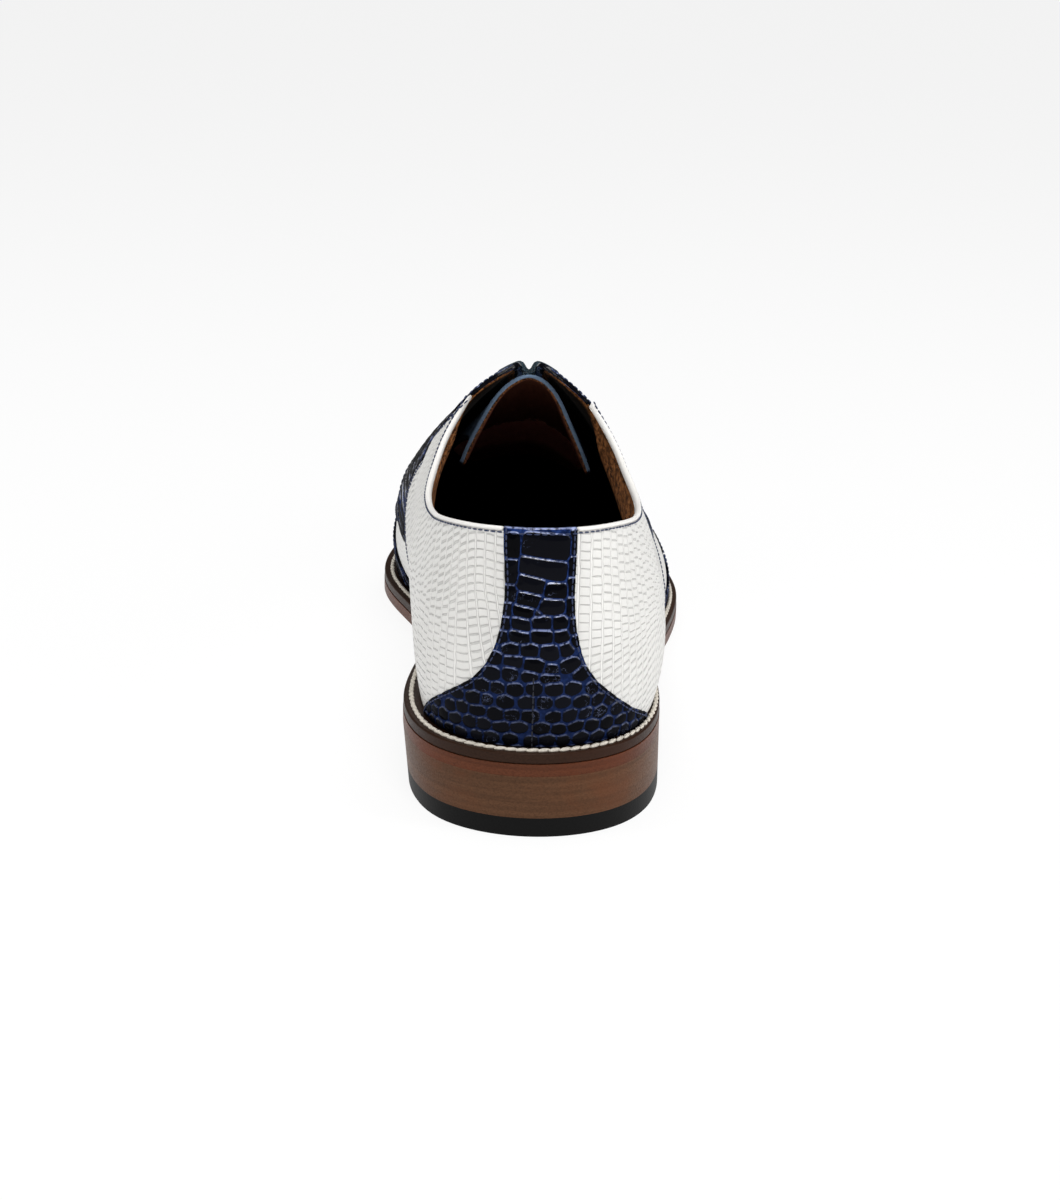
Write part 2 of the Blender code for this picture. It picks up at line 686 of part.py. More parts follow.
def main():
    for obj in list(bpy.data.objects):
        bpy.data.objects.remove(obj)
    navy = new_material("navy_scale_leather", (0.012, 0.018, 0.05), 0.25)
    white = new_material("white_tile_leather", (0.80, 0.79, 0.76), 0.5)
    smooth_white = new_material("white_binding", (0.83, 0.82, 0.79), 0.45)
    build_heel(new_material("rubber_lift", (0.012, 0.012, 0.012), 0.6),
               new_material("stacked_leather", (0.090, 0.042, 0.026), 0.45))
    build_outsole(new_material("sole_leather", (0.130, 0.048, 0.028), 0.5))
    build_welt(new_material("welt_leather", (0.055, 0.030, 0.021), 0.55))
    build_insole(new_material("insole_leather", (0.060, 0.032, 0.022), 0.8))
    cutter = build_eyelet_cutter()
    build_upper(white, cutter)
    build_tongue(new_material("tongue_suede", (0.060, 0.075, 0.11), 0.9))
    build_counter(navy)
    build_toe_panel(navy)
    build_toe_strip(navy)
    lace = new_material("lace_cord", (0.010, 0.030, 0.050), 0.6)
    build_laces(lace)
    for side, name in ((1, "lateral"), (-1, "medial")):
        build_eyestay("eyestay_" + name, side, navy, cutter)
        build_binding("collar_binding_" + name, side, smooth_white)


if __name__ == "__main__":
    main()
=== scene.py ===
"""Leather, stitching and sole of a right-foot bicycle-toe oxford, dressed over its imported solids.

Shapes are worked out in millimetres, with the toe along +Y and the outer (lateral) side along +X,
and become metres about the origin as each mesh is made. A place on the upper is a signed station
round the shoe, lateral above zero, and a rise from 0 at the sole to 1 at the rim. A rise above 1
rolls over the rim to the inside.
"""

import bpy
import numpy as np
from bpy.props import FloatProperty, FloatVectorProperty, PointerProperty
from mathutils import Matrix
from mathutils.kdtree import KDTree


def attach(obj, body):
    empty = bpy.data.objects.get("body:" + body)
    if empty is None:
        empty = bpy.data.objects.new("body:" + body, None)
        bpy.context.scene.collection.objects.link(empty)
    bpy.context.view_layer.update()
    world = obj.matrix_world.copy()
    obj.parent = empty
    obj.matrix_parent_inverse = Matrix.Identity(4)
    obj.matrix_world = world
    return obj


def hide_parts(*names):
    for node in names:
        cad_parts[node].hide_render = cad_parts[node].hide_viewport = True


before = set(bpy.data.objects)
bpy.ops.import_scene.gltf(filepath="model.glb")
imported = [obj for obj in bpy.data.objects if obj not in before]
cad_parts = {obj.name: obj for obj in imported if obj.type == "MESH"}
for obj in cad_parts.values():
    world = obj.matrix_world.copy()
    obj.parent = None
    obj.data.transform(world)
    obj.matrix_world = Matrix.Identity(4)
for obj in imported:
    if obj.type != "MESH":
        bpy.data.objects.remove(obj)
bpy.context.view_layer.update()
BODY = "root"
MM = 0.001
SIDES = ((1, "lateral"), (-1, "medial"))

bl_info = {
    "name": "Bicycle-toe oxford",
    "version": (1, 0, 0),
    "blender": (4, 5, 0),
    "location": "View3D > Sidebar > Shoe",
    "description": "Builds the leather, stitching and sole of a two-tone oxford",
    "category": "Object",
}

# Sole layers at the heel and the run of the sole from heel to toe
TOP_LIFT = 5.6
HEEL_BASE = 12.5
OUTSOLE = 3.6
WELT = 3.2
HEEL_STACK = TOP_LIFT + HEEL_BASE
SOLE_EDGE = OUTSOLE + WELT
SOLE_LENGTH = 304.0
HEEL_BREAST_Y = 69.0
BREAST_HOLLOW = 5.0
SHANK_END_Y = 170.0
TREAD_END_Y = 212.0
TOE_SPRING = 10.0
HEEL_TAPER = 0.8
GAP = 0.3
LAYER_GAP = 0.02
UPPER_WALL = 2.0
INSOLE_RISE = 3.0
HEEL_STATIONS = 2.9

# Heights of the layers of leather over the last's outer face
LINING_FACE = -2.2
RIM_LINING = -1.05
PADDING = 3.2
TUCK = -1.2
SHELL_FACE = -0.8
PANEL_FACE = 0.0
EYESTAY_FACE = 0.2
QUARTER_FACE = 0.6
COUNTER_FACE = 1.25
BINDING_FACE = 0.95
STRIP_FACE = 1.0
THREAD_LIFT = 0.05
ROLL = 1.1

# Lacing
LACE_THICK = 0.8
LACE_WIDE = 1.7
LACE_EDGE = -1.9
LACE_DIP = 0.5
EYELET = 4.0
EYELET_INSET = 8.0
EYELET_STATIONS = (6.26, 6.58, 6.9, 7.22, 7.54)

# One row for each station from the back of the heel to the tip of the toe.
STATION_COLUMNS = (
    "name", "edge_y", "edge_lateral", "edge_medial", "welt_lateral", "welt_medial",
    "rim_y", "rim_half", "rim_mid", "rim_z", "rim_tilt", "aim",
    "low_out_lateral", "low_up_lateral", "high_out_lateral", "high_down_lateral",
    "low_out_medial", "low_up_medial", "high_out_medial", "high_down_medial",
)
STATIONS = (
    ("heel_back", 0.0, 0.0, 0.0, 5.2, 5.2, 8.0, 0.0, 0.0, 87.0, 0.0, 180,
     5.5, 18, 2.5, 24, 5.5, 18, 2.5, 24),
    ("heel_corner", 11.5, 26.2, 26.4, 4.4, 5.4, 14.5, 17.7, -0.6, 86.4, 0.0, 130,
     6.0, 18, 2.5, 24, 5.2, 18, 2.5, 24),
    ("heel_side", 40.0, 37.0, 36.9, 2.9, 5.8, 38.0, 27.8, -0.2, 82.2, 0.0, 93,
     6.6, 19, 4.2, 22, 4.2, 18, 3.2, 22),
    ("seat_front", 72.0, 37.5, 35.0, 2.4, 4.4, 64.0, 30.3, -0.5, 80.0, 0.5, 88,
     9.3, 20, 4.8, 20, 7.2, 19, 6.2, 20),
    ("waist", 103.0, 39.0, 30.5, 2.4, 3.2, 88.0, 26.6, -0.9, 87.0, 1.0, 90,
     8.0, 21, 6.0, 19, 12.0, 22, 13.5, 17),
    ("collar_rise", 124.0, 41.0, 29.8, 2.6, 3.0, 103.0, 18.6, -1.1, 99.0, 1.0, 90,
     7.5, 22, 11.5, 18, 17.0, 27, 19.0, 17),
    ("facing_top", 146.0, 43.8, 31.2, 3.0, 3.4, 111.0, 3.1, -1.8, 109.1, 0.0, 90,
     6.5, 22, 22.0, 11, 21.0, 31, 33.0, 19),
    ("facing_mid", 168.0, 48.4, 35.5, 3.4, 4.0, 142.0, 1.2, -1.8, 91.0, 0.0, 90,
     5.5, 21, 26.0, 3, 20.0, 31, 45.0, 8),
    ("throat", 189.0, 52.3, 42.5, 3.6, 4.2, 172.0, 0.0, -1.5, 73.0, 0.0, 90,
     5.5, 19, 26.0, 0, 14.5, 29, 46.0, 0),
    ("joint", 211.0, 53.4, 49.2, 3.8, 4.4, 196.0, 0.0, -1.5, 62.5, 0.0, 88,
     4.5, 17, 28.5, 0, 7.0, 25, 42.0, 0),
    ("joint_front", 236.0, 49.5, 50.5, 4.4, 4.8, 219.0, 0.0, -2.0, 56.0, 0.0, 82,
     2.5, 16, 28.0, 0, 3.5, 20, 36.0, 0),
    ("toe_side", 264.5, 39.3, 42.7, 5.2, 5.4, 241.0, 0.0, -2.5, 51.5, 0.0, 68,
     2.0, 14, 23.0, 0, 2.5, 16, 28.0, 0),
    ("toe_corner", 290.5, 22.0, 27.5, 5.8, 5.8, 259.0, 0.0, -3.0, 47.0, 0.0, 40,
     1.5, 13, 19.0, 0, 1.5, 14, 21.0, 0),
    ("toe_tip", 304.0, -4.0, 4.0, 6.0, 6.0, 268.0, 0.0, -3.3, 44.0, 0.0, 0,
     1.0, 13, 17.0, 0, 1.0, 13, 17.0, 0),
)
LAST_STATION = len(STATIONS) - 1
THROAT = [row[0] for row in STATIONS].index("throat")

# Half width of the heel counter in stations, from the sole up to the strap's top.
COUNTER_COLUMNS = ("rise", "lateral", "medial")
COUNTER = (
    (0.0, 1.72, 1.70),
    (0.03, 1.64, 1.64),
    (0.085, 1.42, 1.50),
    (0.145, 1.19, 1.32),
    (0.215, 0.98, 1.08),
    (0.285, 0.80, 0.84),
    (0.345, 0.67, 0.66),
    (0.43, 0.56, 0.52),
    (0.52, 0.505, 0.44),
    (0.615, 0.48, 0.40),
    (0.72, 0.49, 0.39),
    (0.83, 0.53, 0.42),
    (0.92, 0.565, 0.46),
    (1.0, 0.585, 0.48),
)

# Front edge of the white quarters, in stations, from the sole up to the collar.
QUARTER_COLUMNS = ("rise", "lateral", "medial")
QUARTER = (
    (0.0, 7.30, 6.62),
    (0.1, 7.28, 6.58),
    (0.2, 7.16, 6.50),
    (0.28, 7.12, 6.38),
    (0.36, 6.97, 6.32),
    (0.415, 6.86, 6.33),
    (0.48, 6.70, 6.34),
    (0.555, 6.50, 6.22),
    (0.65, 6.12, 5.80),
    (0.8, 5.62, 5.06),
    (0.93, 5.20, 4.86),
    (1.0, 5.06, 4.98),
)

# Where the collar binding stops and the bare facing starts, in stations.
COLLAR_END = 5.06
# Where the roll over the rim dies out into the facing.
ROLL_END = (5.05, 5.3)
# Where the lining's padding and light die out towards the facing.
PADDED_END = (4.9, 5.4)

# Lower edge of each eyestay from the collar to its lowest tip and up to the throat.
EYESTAY_COLUMNS = ("station", "lower")
EYESTAY = (
    (4.80, 0.92),
    (4.95, 0.83),
    (5.15, 0.74),
    (5.4, 0.67),
    (5.6, 0.62),
    (6.0, 0.50),
    (6.2, 0.42),
    (6.4, 0.36),
    (6.6, 0.32),
    (6.8, 0.305),
    (7.0, 0.335),
    (7.2, 0.455),
    (7.45, 0.615),
    (7.75, 0.86),
    (7.9, 0.985),
)

# The toe panel: the window that leaves the white side panel bare, and its back edge, which is
# tucked under the eyestay.
TOE_COLUMNS = ("station", "window_low", "window_high", "back_edge")
TOE = (
    (6.5, 0.012, 0.285, 0.34),
    (6.9, 0.016, 0.300, 0.36),
    (7.3, 0.024, 0.328, 0.57),
    (7.6, 0.034, 0.345, 0.78),
    (8.0, 0.060, 0.365, 1.0),
    (8.5, 0.120, 0.390, 1.0),
    (9.0, 0.215, 0.418, 1.0),
    (9.5, 0.335, 0.447, 1.0),
    (10.0, 0.470, 0.470, 1.0),
    (13.0, 0.470, 0.470, 1.0),
)
WINDOW_END = 10.0

# Half width, seen from above, of the strip between the two toe seams.
STRIP_COLUMNS = ("station", "half_width")
STRIP_ROWS = (
    (8.2, 14.0),
    (9.0, 12.0),
    (10.0, 10.8),
    (11.0, 10.4),
    (12.0, 11.0),
)

# Half width of the tongue down each side, and how far it lies under the upper's outer face.
TONGUE_COLUMNS = ("station", "half_width")
TONGUE_ROWS = (
    (6.0, 35.0),
    (7.0, 30.0),
    (8.0, 24.0),
    (8.7, 19.0),
)
TONGUE = 1.8
TONGUE_DEPTH = 3.7
TONGUE_FALL = 0.055
TONGUE_CLEAR = 0.10
TONGUE_SWEEP = 0.45
TONGUE_SHOULDER = 1.2

# Scales of the heel strap: millimetres across from the back seam and down from the rim, half
# width, half height, tilt in degrees and squareness.
STRAP_SCALES = (
    (2.6, 4.9, 6.3, 3.2, -6, 7.0),
    (1.7, 11.0, 6.2, 2.4, -11, 6.0),
    (-1.6, 15.4, 3.5, 2.0, -14, 5.0),
    (5.3, 17.2, 2.9, 1.8, -2, 4.5),
    (-2.0, 19.7, 3.1, 1.8, -10, 3.6),
    (4.1, 21.5, 3.4, 1.9, -4, 2.8),
    (-3.5, 22.9, 2.9, 1.5, -8, 3.2),
    (0.4, 23.4, 0.7, 0.6, 0, 2.2),
    (-3.9, 26.4, 2.6, 1.6, -10, 2.8),
    (1.5, 25.9, 2.6, 1.6, -3, 3.0),
    (6.6, 26.0, 2.0, 1.7, 6, 2.8),
    (-4.3, 29.9, 2.8, 1.5, -9, 2.8),
    (1.7, 29.7, 2.8, 1.7, -6, 2.8),
    (7.1, 29.7, 2.0, 1.6, 4, 2.6),
    (-6.5, 33.4, 2.2, 1.5, -6, 2.6),
    (-1.5, 33.5, 2.3, 1.6, -4, 2.6),
    (3.9, 34.1, 2.5, 1.9, -10, 2.6),
    (8.4, 33.4, 1.8, 1.7, 20, 2.6),
    (-11.0, 36.2, 2.1, 1.6, -8, 2.5),
    (-5.6, 36.8, 2.6, 1.4, -4, 2.6),
    (-0.2, 37.6, 2.8, 1.7, -12, 2.8),
    (4.5, 38.7, 1.9, 1.1, -5, 2.5),
    (9.4, 37.9, 2.7, 1.8, 18, 2.5),
    (4.2, 41.4, 2.4, 1.1, -3, 2.6),
)
# The margins of the strap, outside its lines of stitches: a column of scales on each side.
STRAP_MARGINS = (
    (-6.6, 5.0, 1.7, 3.3, 0, 5.0),
    (-6.7, 12.1, 1.6, 3.2, 0, 5.0),
    (-7.0, 18.1, 1.6, 2.2, 4, 4.0),
    (-7.6, 22.5, 1.3, 1.7, 6, 4.0),
    (-8.2, 26.4, 1.4, 1.7, 8, 3.6),
    (-9.0, 30.2, 1.6, 1.7, 10, 3.0),
    (9.9, 4.2, 1.0, 3.3, 0, 5.0),
    (9.6, 10.6, 1.0, 2.7, 0, 5.0),
    (9.4, 16.2, 1.0, 2.5, 0, 4.0),
    (9.3, 21.8, 1.0, 2.6, 0, 4.0),
    (10.0, 27.1, 1.0, 2.2, -6, 3.6),
    (10.9, 31.2, 1.2, 1.6, -10, 3.0),
)
# How far a scale's face may grow past its charted edge, in millimetres.
SCALE_REACH = 0.42

# The camera, fitted to the picture: place in millimetres, turns in radians, lens in pixels.
CAMERA_PLACE = (-12.19, -620.1, 272.8)
CAMERA_YAW = -0.0168
CAMERA_PITCH = 0.3173
CAMERA_ROLL = 0.0236
CAMERA_FOCUS = 2442.8
FRAME_HEIGHT = 1200
SENSOR = 36.0

# The place that every light points at, in metres.
LIT_SPOT = (0.0, -0.02, 0.06)


def column(name, columns=STATION_COLUMNS, rows=STATIONS):
    """One named column of a table."""
    index = columns.index(name)
    return np.array([row[index] for row in rows], float)


def around(lateral, medial):
    """A column's values once round the shoe: up the lateral side and back down the medial one."""
    return np.concatenate([lateral, medial[-2:0:-1]])


def closed_spline(values):
    """A smooth closed curve through evenly numbered values, called with a place in that count."""
    values = np.asarray(values, float)
    count = len(values)
    system = 4 * np.eye(count) + np.roll(np.eye(count), 1, 0) + np.roll(np.eye(count), -1, 0)
    bend = np.linalg.solve(system, 6 * (np.roll(values, -1) - 2 * values + np.roll(values, 1)))

    def at(place):
        place = np.asarray(place, float) % count
        low = np.floor(place).astype(int) % count
        high = (low + 1) % count
        far = place - np.floor(place)
        near = 1 - far
        curve = (near**3 - near) * bend[low] + (far**3 - far) * bend[high]
        return near * values[low] + far * values[high] + curve / 6

    return at


def steady_curve(knots, values):
    """A smooth curve through knots that never swings past their values."""
    knots = np.asarray(knots, float)
    values = np.asarray(values, float)
    width = np.diff(knots)
    grade = np.diff(values) / width
    product = grade[:-1] * grade[1:]
    total = np.where(product > 0, grade[:-1] + grade[1:], 1.0)
    inner = np.where(product > 0, 2 * product / total, 0.0)
    slope = np.concatenate([grade[:1], inner, grade[-1:]])

    def at(place):
        place = np.clip(np.asarray(place, float), knots[0], knots[-1])
        low = np.clip(np.searchsorted(knots, place, side="right") - 1, 0, len(width) - 1)
        far = (place - knots[low]) / width[low]
        near = 1 - far
        ends = values[low] * (1 + 2 * far) * near**2 + values[low + 1] * (1 + 2 * near) * far**2
        return ends + width[low] * far * near * (slope[low] * near - slope[low + 1] * far)

    return at


def table_curve(name, columns, rows):
    """A steady curve of one column over a table's first column."""
    return steady_curve(column(columns[0], columns, rows), column(name, columns, rows))


def smooth_step(value, low=0.0, high=1.0):
    value = np.clip((value - low) / (high - low), 0, 1)
    return value * value * (3 - 2 * value)


EDGE_X = closed_spline(around(column("edge_lateral"), -column("edge_medial")))
EDGE_Y, RIM_Y, RIM_Z, RIM_MID = (
    closed_spline(around(column(name), column(name)))
    for name in ("edge_y", "rim_y", "rim_z", "rim_mid"))
WELT_WIDTH, LOW_OUT, LOW_UP, HIGH_OUT, HIGH_DOWN = (
    closed_spline(around(column(name + "_lateral"), column(name + "_medial")))
    for name in ("welt", "low_out", "low_up", "high_out", "high_down"))
RIM_HALF, RIM_TILT, AIM = (
    steady_curve(np.arange(len(STATIONS)), column(name))
    for name in ("rim_half", "rim_tilt", "aim"))
COUNTER_EDGE = {name: table_curve(name, COUNTER_COLUMNS, COUNTER) for side, name in SIDES}
QUARTER_EDGE = {name: table_curve(name, QUARTER_COLUMNS, QUARTER) for side, name in SIDES}
TOE_EDGE = {name: table_curve(name, TOE_COLUMNS, TOE) for name in TOE_COLUMNS[1:]}
EYESTAY_EDGE = table_curve("lower", EYESTAY_COLUMNS, EYESTAY)
STRIP_HALF = table_curve("half_width", STRIP_COLUMNS, STRIP_ROWS)
TONGUE_HALF = table_curve("half_width", TONGUE_COLUMNS, TONGUE_ROWS)


def sole_rise(y):
    """Height of the outsole's underside: on the heel, down the shank, flat, then the toe spring."""
    shank = 1 - smooth_step((y - HEEL_BREAST_Y) / (SHANK_END_Y - HEEL_BREAST_Y))
    spring = np.clip((y - TREAD_END_Y) / (SOLE_LENGTH - TREAD_END_Y), 0, None) ** 2
    return HEEL_STACK * shank + TOE_SPRING * spring


def unit(vectors):
    return vectors / np.linalg.norm(vectors, axis=-1, keepdims=True)


def run_along(points):
    """Distance of each point of a line from its start."""
    return np.concatenate([[0.0], np.cumsum(np.linalg.norm(np.diff(points, axis=0), axis=1))])


def edge_point(station, inset=0.0):
    """The sole's outline at signed stations, lateral above zero, drawn in by an inset."""
    station = np.asarray(station, float)
    step = 0.01
    along = unit(np.stack([EDGE_X(station + step) - EDGE_X(station - step),
                           EDGE_Y(station + step) - EDGE_Y(station - step)], -1))
    return np.stack([EDGE_X(station) - inset * along[..., 1],
                     EDGE_Y(station) + inset * along[..., 0]], -1)


def raised(plan, height):
    """Points of a plan at a height over the outsole's underside."""
    return np.concatenate([plan, (sole_rise(plan[:, 1]) + height)[:, None]], -1)


def ridge_slope(place):
    """Fall of the vamp's ridge towards the toe, for stations past the throat."""
    place = np.minimum(place, LAST_STATION - 0.5)
    step = 0.02
    return (RIM_Z(place + step) - RIM_Z(place - step)) / (RIM_Y(place + step) - RIM_Y(place - step))


def last_point(station, rise):
    """A point on the upper's outer face, at a signed station and a rise from 0 to 1."""
    station, rise = np.broadcast_arrays(np.asarray(station, float), np.asarray(rise, float))
    place = np.abs(station)
    side = np.where(station < 0, -1.0, 1.0)
    aim = np.radians(AIM(place))
    out = np.stack([side * np.sin(aim), np.cos(aim), np.zeros_like(aim)], -1)
    up = np.array([0.0, 0.0, 1.0])

    foot = edge_point(station, WELT_WIDTH(station))
    foot_z = sole_rise(foot[..., 1]) + SOLE_EDGE + GAP
    start = np.concatenate([foot, foot_z[..., None]], -1)
    rim_z = RIM_Z(station) - side * RIM_TILT(place)
    rim = np.stack([RIM_MID(station) + side * RIM_HALF(place), RIM_Y(station), rim_z], -1)

    on_vamp = place > THROAT
    fall = np.where(on_vamp, -ridge_slope(np.maximum(place, THROAT)) * np.cos(aim), 0.0)
    drop = HIGH_DOWN(station) + fall * HIGH_OUT(station)
    low = start + out * LOW_OUT(station)[..., None] + up * LOW_UP(station)[..., None]
    high = rim + out * HIGH_OUT(station)[..., None] - up * drop[..., None]
    far = rise[..., None]
    near = 1 - far
    return near**3 * start + 3 * near**2 * far * low + 3 * near * far**2 * high + far**3 * rim


def last_normal(station, rise):
    """The way out of the upper's outer face at a station and rise."""
    station, rise = np.broadcast_arrays(np.asarray(station, float), np.asarray(rise, float))
    step = 0.01
    inner = np.clip(rise, step, 1 - step)
    along = last_point(station + step, inner) - last_point(station - step, inner)
    upward = last_point(station, inner + step) - last_point(station, inner - step)
    slope = ridge_slope(np.clip(np.abs(station), THROAT, None))
    crest = np.stack([np.zeros_like(slope), -slope, np.ones_like(slope)], -1)
    on_crest = (np.abs(station) >= THROAT) & (rise > 1 - 1e-6)
    return unit(np.where(on_crest[..., None], crest, np.cross(along, upward)))


def skin_point(station, rise, height):
    """A point at a height over the outer face, or on the roll over the rim past a rise of 1."""
    station, rise, height = np.broadcast_arrays(station, rise, height)
    flat = np.where(rise > 1, FLAT.roll_start(station), rise)
    out = last_normal(station, flat)
    up = unit(last_point(station, flat) - last_point(station, flat - 0.01))
    turn = np.pi * np.clip(rise - 1, 0, 1)
    half = np.where(turn > 0, (height - RIM_LINING) / 2, 0.0)
    lift = height - half + half * np.cos(turn)
    return last_point(station, flat) + out * lift[..., None] + up * (half * np.sin(turn))[..., None]


def rise_below_rim(station, distance):
    """The rise that lies a distance down the rib from the rim."""
    rises = np.linspace(1, 0, 201)
    rib = last_point(np.full(rises.shape, float(station)), rises)
    return np.interp(distance, run_along(rib), rises)


def centre_line():
    """Middle of the sole's outline, which the origin sits under."""
    x = EDGE_X(np.linspace(0, 2 * LAST_STATION, 40 * LAST_STATION))
    return np.array([(x.max() + x.min()) / 2, SOLE_LENGTH / 2, 0.0])


CENTRE = centre_line()


def in_metres(points):
    """Millimetres in the shoe's own layout to metres about the origin."""
    return (np.asarray(points, float).reshape(-1, 3) - CENTRE) * MM


class FlatLeather:
    """Lengths over the last: how far a place is round from the back seam, and up its rib."""

    def __init__(self, station_steps=1040, rise_steps=80):
        self.stations = np.linspace(-LAST_STATION, LAST_STATION, station_steps + 1)
        self.rises = np.linspace(0, 1, rise_steps + 1)
        points = last_point(self.stations[:, None], self.rises[None])
        round_step = np.linalg.norm(np.diff(points, axis=0), axis=-1)
        up_step = np.linalg.norm(np.diff(points, axis=1), axis=-1)
        self.round = np.concatenate([np.zeros((1, len(self.rises))), np.cumsum(round_step, 0)])
        self.round -= self.round[station_steps // 2]
        self.up = np.concatenate([np.zeros((len(self.stations), 1)), np.cumsum(up_step, 1)], 1)
        self.starts = np.array([np.interp(rib[-1] - ROLL, rib, self.rises) for rib in self.up])

    def roll_start(self, station):
        """The rise where leather that rolls over the rim leaves the outer face."""
        return np.interp(station, self.stations, self.starts)

    def top(self, station):
        """Top of the leather under the collar's roll, and of the facing and vamp past its end."""
        start = self.roll_start(station)
        return start + (1 - start) * smooth_step(np.abs(station), *ROLL_END)

    def at(self, station, rise):
        """Millimetres round, millimetres up from the sole and millimetres down from the rim."""
        far = (np.clip(station, -LAST_STATION, LAST_STATION) - self.stations[0])
        far = far / (self.stations[1] - self.stations[0])
        high = np.clip(rise, 0, 1) * (len(self.rises) - 1)
        column_low = np.clip(np.floor(far).astype(int), 0, len(self.stations) - 2)
        row_low = np.clip(np.floor(high).astype(int), 0, len(self.rises) - 2)
        a = far - column_low
        b = high - row_low

        def between(table):
            low = table[column_low, row_low] * (1 - a) + table[column_low + 1, row_low] * a
            top = table[column_low, row_low + 1] * (1 - a) + table[column_low + 1, row_low + 1] * a
            return low * (1 - b) + top * b

        whole = self.up[column_low, -1] * (1 - a) + self.up[column_low + 1, -1] * a
        up = between(self.up)
        down = np.where(rise > 1, ROLL * (1 - np.pi * (rise - 1)), whole - up)
        return between(self.round), up, down


FLAT = FlatLeather()


def length(name, description, millimetres):
    return FloatProperty(name=name, description=description, default=millimetres * MM, min=0.0,
                         unit="LENGTH", precision=5)


def colour(name, description, red, green, blue):
    return FloatVectorProperty(name=name, description=description, default=(red, green, blue),
                               subtype="COLOR", size=3, min=0.0, max=1.0)


def strength(name, description, value):
    return FloatProperty(name=name, description=description, default=value, min=0.0)


class ShoeSizes(bpy.types.PropertyGroup):
    """Sizes of the leather's relief and of the stitching"""

    groove: length("Groove depth", "Depth of the grooves between the scales", 0.42)
    dome: length("Scale dome", "How far the middle of a scale stands over its edge", 0.16)
    tile: length("Tile relief", "Depth of the lines between the white tiles", 0.13)
    binding: length("Binding depth", "How far the collar binding reaches down from its roll", 0.5)
    seam_pitch: length("Seam pitch", "Length of one stitch and its gap on the upper", 1.9)
    seam_thread: length("Seam thread", "Thickness of the thread on the upper", 0.5)
    welt_pitch: length("Welt pitch", "Length of one stitch and its gap on the welt", 3.0)
    welt_thread: length("Welt thread", "Thickness of the thread on the welt", 1.35)


class ShoeColours(bpy.types.PropertyGroup):
    """Colours of the leather, thread and sole"""

    scale: colour("Scale", "Glossy face of the embossed scales", 0.0024, 0.0026, 0.0042)
    groove: colour("Groove", "Rubbed blue between the scales", 0.018, 0.042, 0.165)
    # The scale lip colour is a painted highlight: the light blue that the overhead lamp puts on each
    # scale's upper edge.
    lip: colour("Scale lip", "Rubbed upper edge of each scale", 0.30, 0.36, 0.62)
    white: colour("White leather", "Tile-embossed quarters", 0.87, 0.86, 0.83)
    binding: colour("Binding", "Smooth band round the collar", 0.93, 0.91, 0.875)
    navy_thread: colour("Navy thread", "Thread on the upper", 0.016, 0.030, 0.095)
    cream_thread: colour("Cream thread", "Thread on the welt", 0.86, 0.78, 0.68)
    lining: colour("Lining", "Napped lining inside the collar", 0.33, 0.13, 0.043)
    tongue: colour("Tongue", "Napped blue-grey face and edge of the tongue", 0.13, 0.19, 0.28)
    lace: colour("Lace", "Woven lace", 0.006, 0.022, 0.034)
    welt: colour("Welt", "Dark waxed welt", 0.032, 0.014, 0.0075)
    outsole: colour("Outsole", "Burnished edge of the outsole", 0.115, 0.036, 0.016)
    heel: colour("Heel", "Stacked leather of the heel", 0.110, 0.050, 0.024)
    rubber: colour("Rubber", "Top lift that stands on the floor", 0.0045, 0.0045, 0.0045)
    # The insole's near-black colour is painted shade for the inside of the shoe.
    insole: colour("Insole", "Sock lining", 0.010, 0.006, 0.005)


class ShoeStage(bpy.types.PropertyGroup):
    """Light and floor"""

    floor: colour("Floor", "Pale floor and backdrop", 0.94, 0.94, 0.94)
    overhead: strength("Overhead", "Power of the light above the camera", 8.4)
    top: strength("Top", "Power of the light straight above the shoe", 5.0)
    left: strength("Left", "Power of the tall light on the left", 2.5)
    right: strength("Right", "Power of the tall light on the right", 4.6)
    ambient: strength("Ambient", "Strength of the even light from all round", 0.15)


def millimetres(name):
    return getattr(bpy.context.scene.shoe_sizes, name) / MM


def paint(name):
    return tuple(getattr(bpy.context.scene.shoe_colours, name))


class Wire:
    """A shader socket that takes part in Python expressions by adding Math nodes."""

    def __init__(self, graph, socket):
        self.graph = graph
        self.socket = socket

    def math(self, operation, *values):
        inputs = dict(enumerate((self, *values)))
        return self.graph.node("ShaderNodeMath", {"operation": operation}, inputs)

    def __add__(self, other):
        return self.math("ADD", other)

    def __sub__(self, other):
        return self.math("SUBTRACT", other)

    def __mul__(self, other):
        return self.math("MULTIPLY", other)

    def __rsub__(self, other):
        return self.graph.node("ShaderNodeMath", {"operation": "SUBTRACT"}, {0: other, 1: self})

    __radd__ = __add__
    __rmul__ = __mul__


